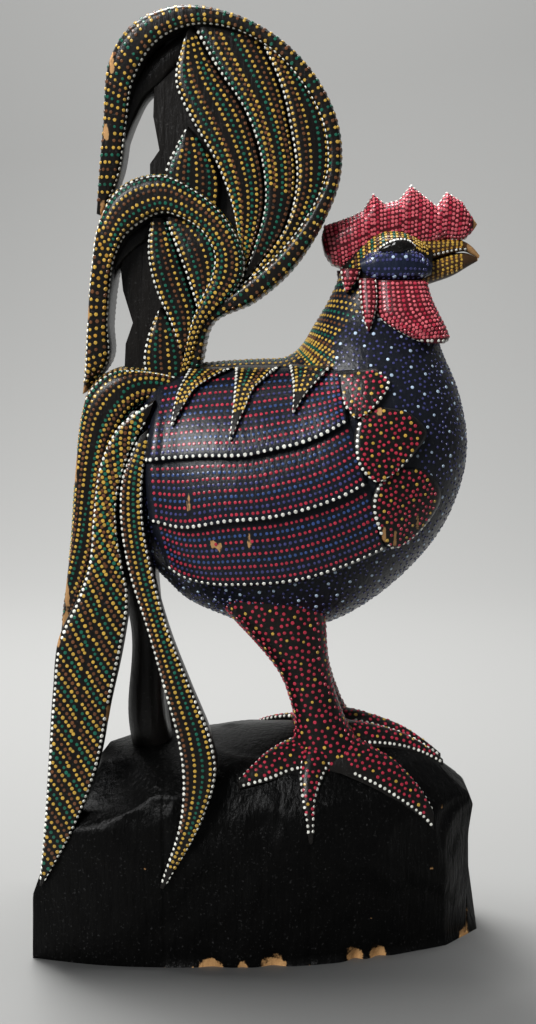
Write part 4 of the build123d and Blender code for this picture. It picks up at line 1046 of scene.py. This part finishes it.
def plinthRings(count=230):
    # Sections across x: an upright side, half an ellipse over the top, an upright side and the flat underside.
    # Sloping end faces clip x by height; then chisel flats, scoops, tool marks, ripples, chipped lower edges
    # and the two glue lines move the points.
    x = np.linspace(-plinthCut["ends"], plinthCut["ends"], count)[:, None]
    row = plinthAt(x[:, 0])
    half, face, ridge = (row[:, k][:, None] for k in range(3))
    side = np.linspace(0, 1, 24, endpoint=False)[None]
    turn = np.linspace(math.pi, 0, 60)[None]
    floor = np.linspace(1, -1, 16, endpoint=False)[None]
    y = np.concatenate([-half * np.ones_like(side), half * np.cos(turn), half * np.ones_like(side), half * floor], 1)
    z = np.concatenate([face * side, face + (ridge - face) * np.sin(turn), face * (1 - side), 0 * half * floor], 1)
    rear = np.interp(z, [0, 36, 72, 127], [-122, -121, -108, -88])
    front = np.interp(z, [0, 64, 82, 127], [122, 122, 115, 88])
    p = np.stack([np.clip(x + 0 * z, rear, front), y, z], -1)
    for point, facing in plinthCut["flats"]:
        for side in (1, -1):
            n = np.array(facing) * [1, side, 1]
            n = n / np.linalg.norm(n)
            p -= np.maximum(0, (p - np.array(point) * [1, side, 1]) @ n)[..., None] * n
    for cx, cz, along, up, depth in plinthCut["scoops"]:
        scoop = np.clip(1 - ((p[..., 0] - cx) / along) ** 2 - ((p[..., 2] - cz) / up) ** 2, 0, 1) ** 0.7
        p[..., 1] -= np.sign(p[..., 1]) * depth * scoop * (np.abs(p[..., 1]) > 20)
    marks = np.random.default_rng(5)
    smooth = p.copy()
    for _ in range(90):
        i, j = marks.integers(4, count - 4), marks.integers(2, 106)
        q = p[i, j].copy()
        n = np.cross(p[i + 3, j] - p[i - 3, j], p[i, j + 2] - p[i, j - 2])
        n *= np.sign(n @ (q - np.array([q[0] * 0.6, 0, 40])))
        n = n / (np.linalg.norm(n) + 1e-9) + marks.normal(0, 0.05, 3)
        n /= np.linalg.norm(n)
        over = np.clip((p - q) @ n + marks.uniform(0.5, 2.0), 0, 2.6)
        fade = np.clip(1.8 - np.linalg.norm(p - q, axis=-1) / 17, 0, 1)
        p -= (over * fade * (p[..., 2] > 0.5))[..., None] * n
    cut = p - smooth
    deepest = np.linalg.norm(cut, axis=-1, keepdims=True)
    p = smooth + cut * np.minimum(1, plinthCut["markLimit"] / np.maximum(deepest, 1e-6))
    ripple = np.sin(p[..., 0] / 3.7 + 1.3 * np.sin(p[..., 2] / 9)) * np.sin(p[..., 2] / 5.3 + p[..., 0] / 11)
    p[..., 1] -= 0.35 * np.sign(p[..., 1]) * ripple * (p[..., 2] > 1)
    for cx, width, depth in plinthCut["chips"]:
        bite = depth * np.exp(-((p[..., 0] - cx) / (width / 2)) ** 2) * np.clip(1 - p[..., 2] / 9, 0, 1)
        p[..., 1] += np.where(p[..., 1] < -25, bite * 0.45, 0)
    for seam in plinthCut["seams"]:
        groove = 0.7 * np.exp(-((p[..., 0] - seam) / 1.1) ** 2) * (p[..., 2] > 0.5)
        p[..., 1] -= np.sign(p[..., 1]) * groove * (np.abs(p[..., 1]) > 30)
    p[..., 2] = np.maximum(p[..., 2], 0)
    return p


def plinthWear(verts):
    # bare wood at the chips, the lower edge, the glue lines and the nicks
    x, y, z = verts[:, 0], verts[:, 1], verts[:, 2]
    low = sum(np.exp(-((x - cx) / (width * 0.75)) ** 4) * np.clip(1.2 - z / (depth + 5), 0, 1)
              for cx, width, depth in plinthCut["chips"])
    edge = 0.40 * np.clip(1 - z / 3, 0, 1)
    seam = sum(0.3 * np.exp(-((x - s) / 0.9) ** 2) for s in plinthCut["seams"]) * (np.abs(y) > 35)
    nick = sum(0.6 * np.exp(-((x - a) / 2) ** 2 - ((z - b) / 2.4) ** 2) for a, b in plinthCut["nicks"]) * (y < 0)
    return np.clip(0.70 * low * (y < 0), 0, 0.70) + 0.9 * edge * (low < 0.2) + seam + nick


makePiece("plinth_carved", [tubeArrays(plinthRings())], [], plinthBlack,
          ["base_rear_block", "base_middle_block", "base_front_block"], wear=plinthWear)
plainNodes = {"tail_post": blackLacquer, "upper_tail_core": blackLacquer, "lower_tail_core": blackLacquer,
              "base_dowels": bareWood, "comb_pins": bareWood, "tail_dowels": bareWood, "trunk_dowels": bareWood,
              "leg_dowels": bareWood}  # these keep their own meshes
for name, finish in plainNodes.items():
    frame["nodes"][name].data.materials.clear()
    frame["nodes"][name].data.materials.append(finish)
print("plinth carved")

# Stage, light and camera

paper = {"front": -1.6, "bendFrom": 0.9, "bend": 1.3, "top": 3.2, "colour": (0.42, 0.42, 0.41, 1)}  # in metres


def makeStage():
    # a floor that bends up into a backdrop through a quarter circle
    flat = np.linspace(paper["front"], paper["bendFrom"], 12)
    turn = np.linspace(0, math.pi / 2, 24)[1:]
    wall = np.linspace(paper["bend"], paper["top"], 9)[1:]
    y = np.r_[flat, paper["bendFrom"] + paper["bend"] * np.sin(turn), np.full(8, paper["bendFrom"] + paper["bend"])]
    z = np.r_[np.zeros(12), paper["bend"] * (1 - np.cos(turn)), wall]
    x = np.linspace(-2.6, 2.6, 9)
    verts = np.stack([np.repeat(x[:, None], len(y), 1), np.tile(y, (9, 1)), np.tile(z, (9, 1))], -1).reshape(-1, 3)
    i, j = np.meshgrid(np.arange(8), np.arange(len(y) - 1), indexing="ij")
    n = len(y)
    quads = np.stack([i * n + j, (i + 1) * n + j, (i + 1) * n + j + 1, i * n + j + 1], -1).reshape(-1, 4)
    mesh = bpy.data.meshes.new("sweep")
    mesh.from_pydata(verts.tolist(), [], quads.tolist())
    mesh.polygons.foreach_set("use_smooth", np.ones(len(quads), dtype=bool))
    material = bpy.data.materials.new("paperSweep")
    material.use_nodes = True
    shader = material.node_tree.nodes["Principled BSDF"]
    shader.inputs["Base Color"].default_value = paper["colour"]
    shader.inputs["Roughness"].default_value = 0.9
    mesh.materials.append(material)
    sweep = bpy.data.objects.new("sweep", mesh)
    bpy.context.scene.collection.objects.link(sweep)


def areaLight(name, place, aim, size, power):
    # a square lamp whose face is turned from its place to its aim
    data = bpy.data.lights.new(name, "AREA")
    data.size = size
    data.energy = power
    lamp = bpy.data.objects.new(name, data)
    lamp.location = place
    direction = np.array(aim) - np.array(place)
    lamp.rotation_euler = (math.atan2(math.hypot(direction[0], direction[1]), -direction[2]), 0,
                           math.atan2(direction[0], -direction[1]) + math.pi)
    bpy.context.scene.collection.objects.link(lamp)
    return lamp


makeStage()
lamps = {  # place, aim, size and watts
    "behind": ((-0.30, 0.45, 1.30), (0, 0, 0.15), 0.6, 19),
    "key": ((-0.80, -1.05, 1.15), (0, 0, 0.3), 0.6, 31),
    "wall": ((0, 0.30, 2.2), (0, 2.2, 1.3), 1.4, 50),
}
lit = {name: areaLight(name, *values) for name, values in lamps.items()}
carving = bpy.data.collections.new("carving")  # the key is flagged off the paper and lights the figure alone
for piece in bpy.context.scene.objects:
    if piece.type == "MESH" and piece.name != "sweep":
        carving.objects.link(piece)
lit["key"].light_linking.receiver_collection = carving
world = bpy.data.worlds.new("studio")
world.use_nodes = True
sky = world.node_tree.nodes["Background"]
sky.inputs["Color"].default_value = (0.95, 0.97, 1.0, 1)
sky.inputs["Strength"].default_value = 0.15
bpy.context.scene.world = world
lens = bpy.data.cameras.new("photoLens")
lens.sensor_fit = "VERTICAL"
lens.sensor_height = 36
lens.lens = 49.33
lookDown = 8.209  # degrees
viewer = bpy.data.objects.new("photoCamera", lens)
viewer.location = (0.0045, -0.760, 0.345)
viewer.rotation_euler = (math.radians(90 - lookDown), 0, 0)
bpy.context.scene.collection.objects.link(viewer)
bpy.context.scene.camera = viewer
bpy.context.scene.view_settings.view_transform = "Standard"
print("stage and camera set")
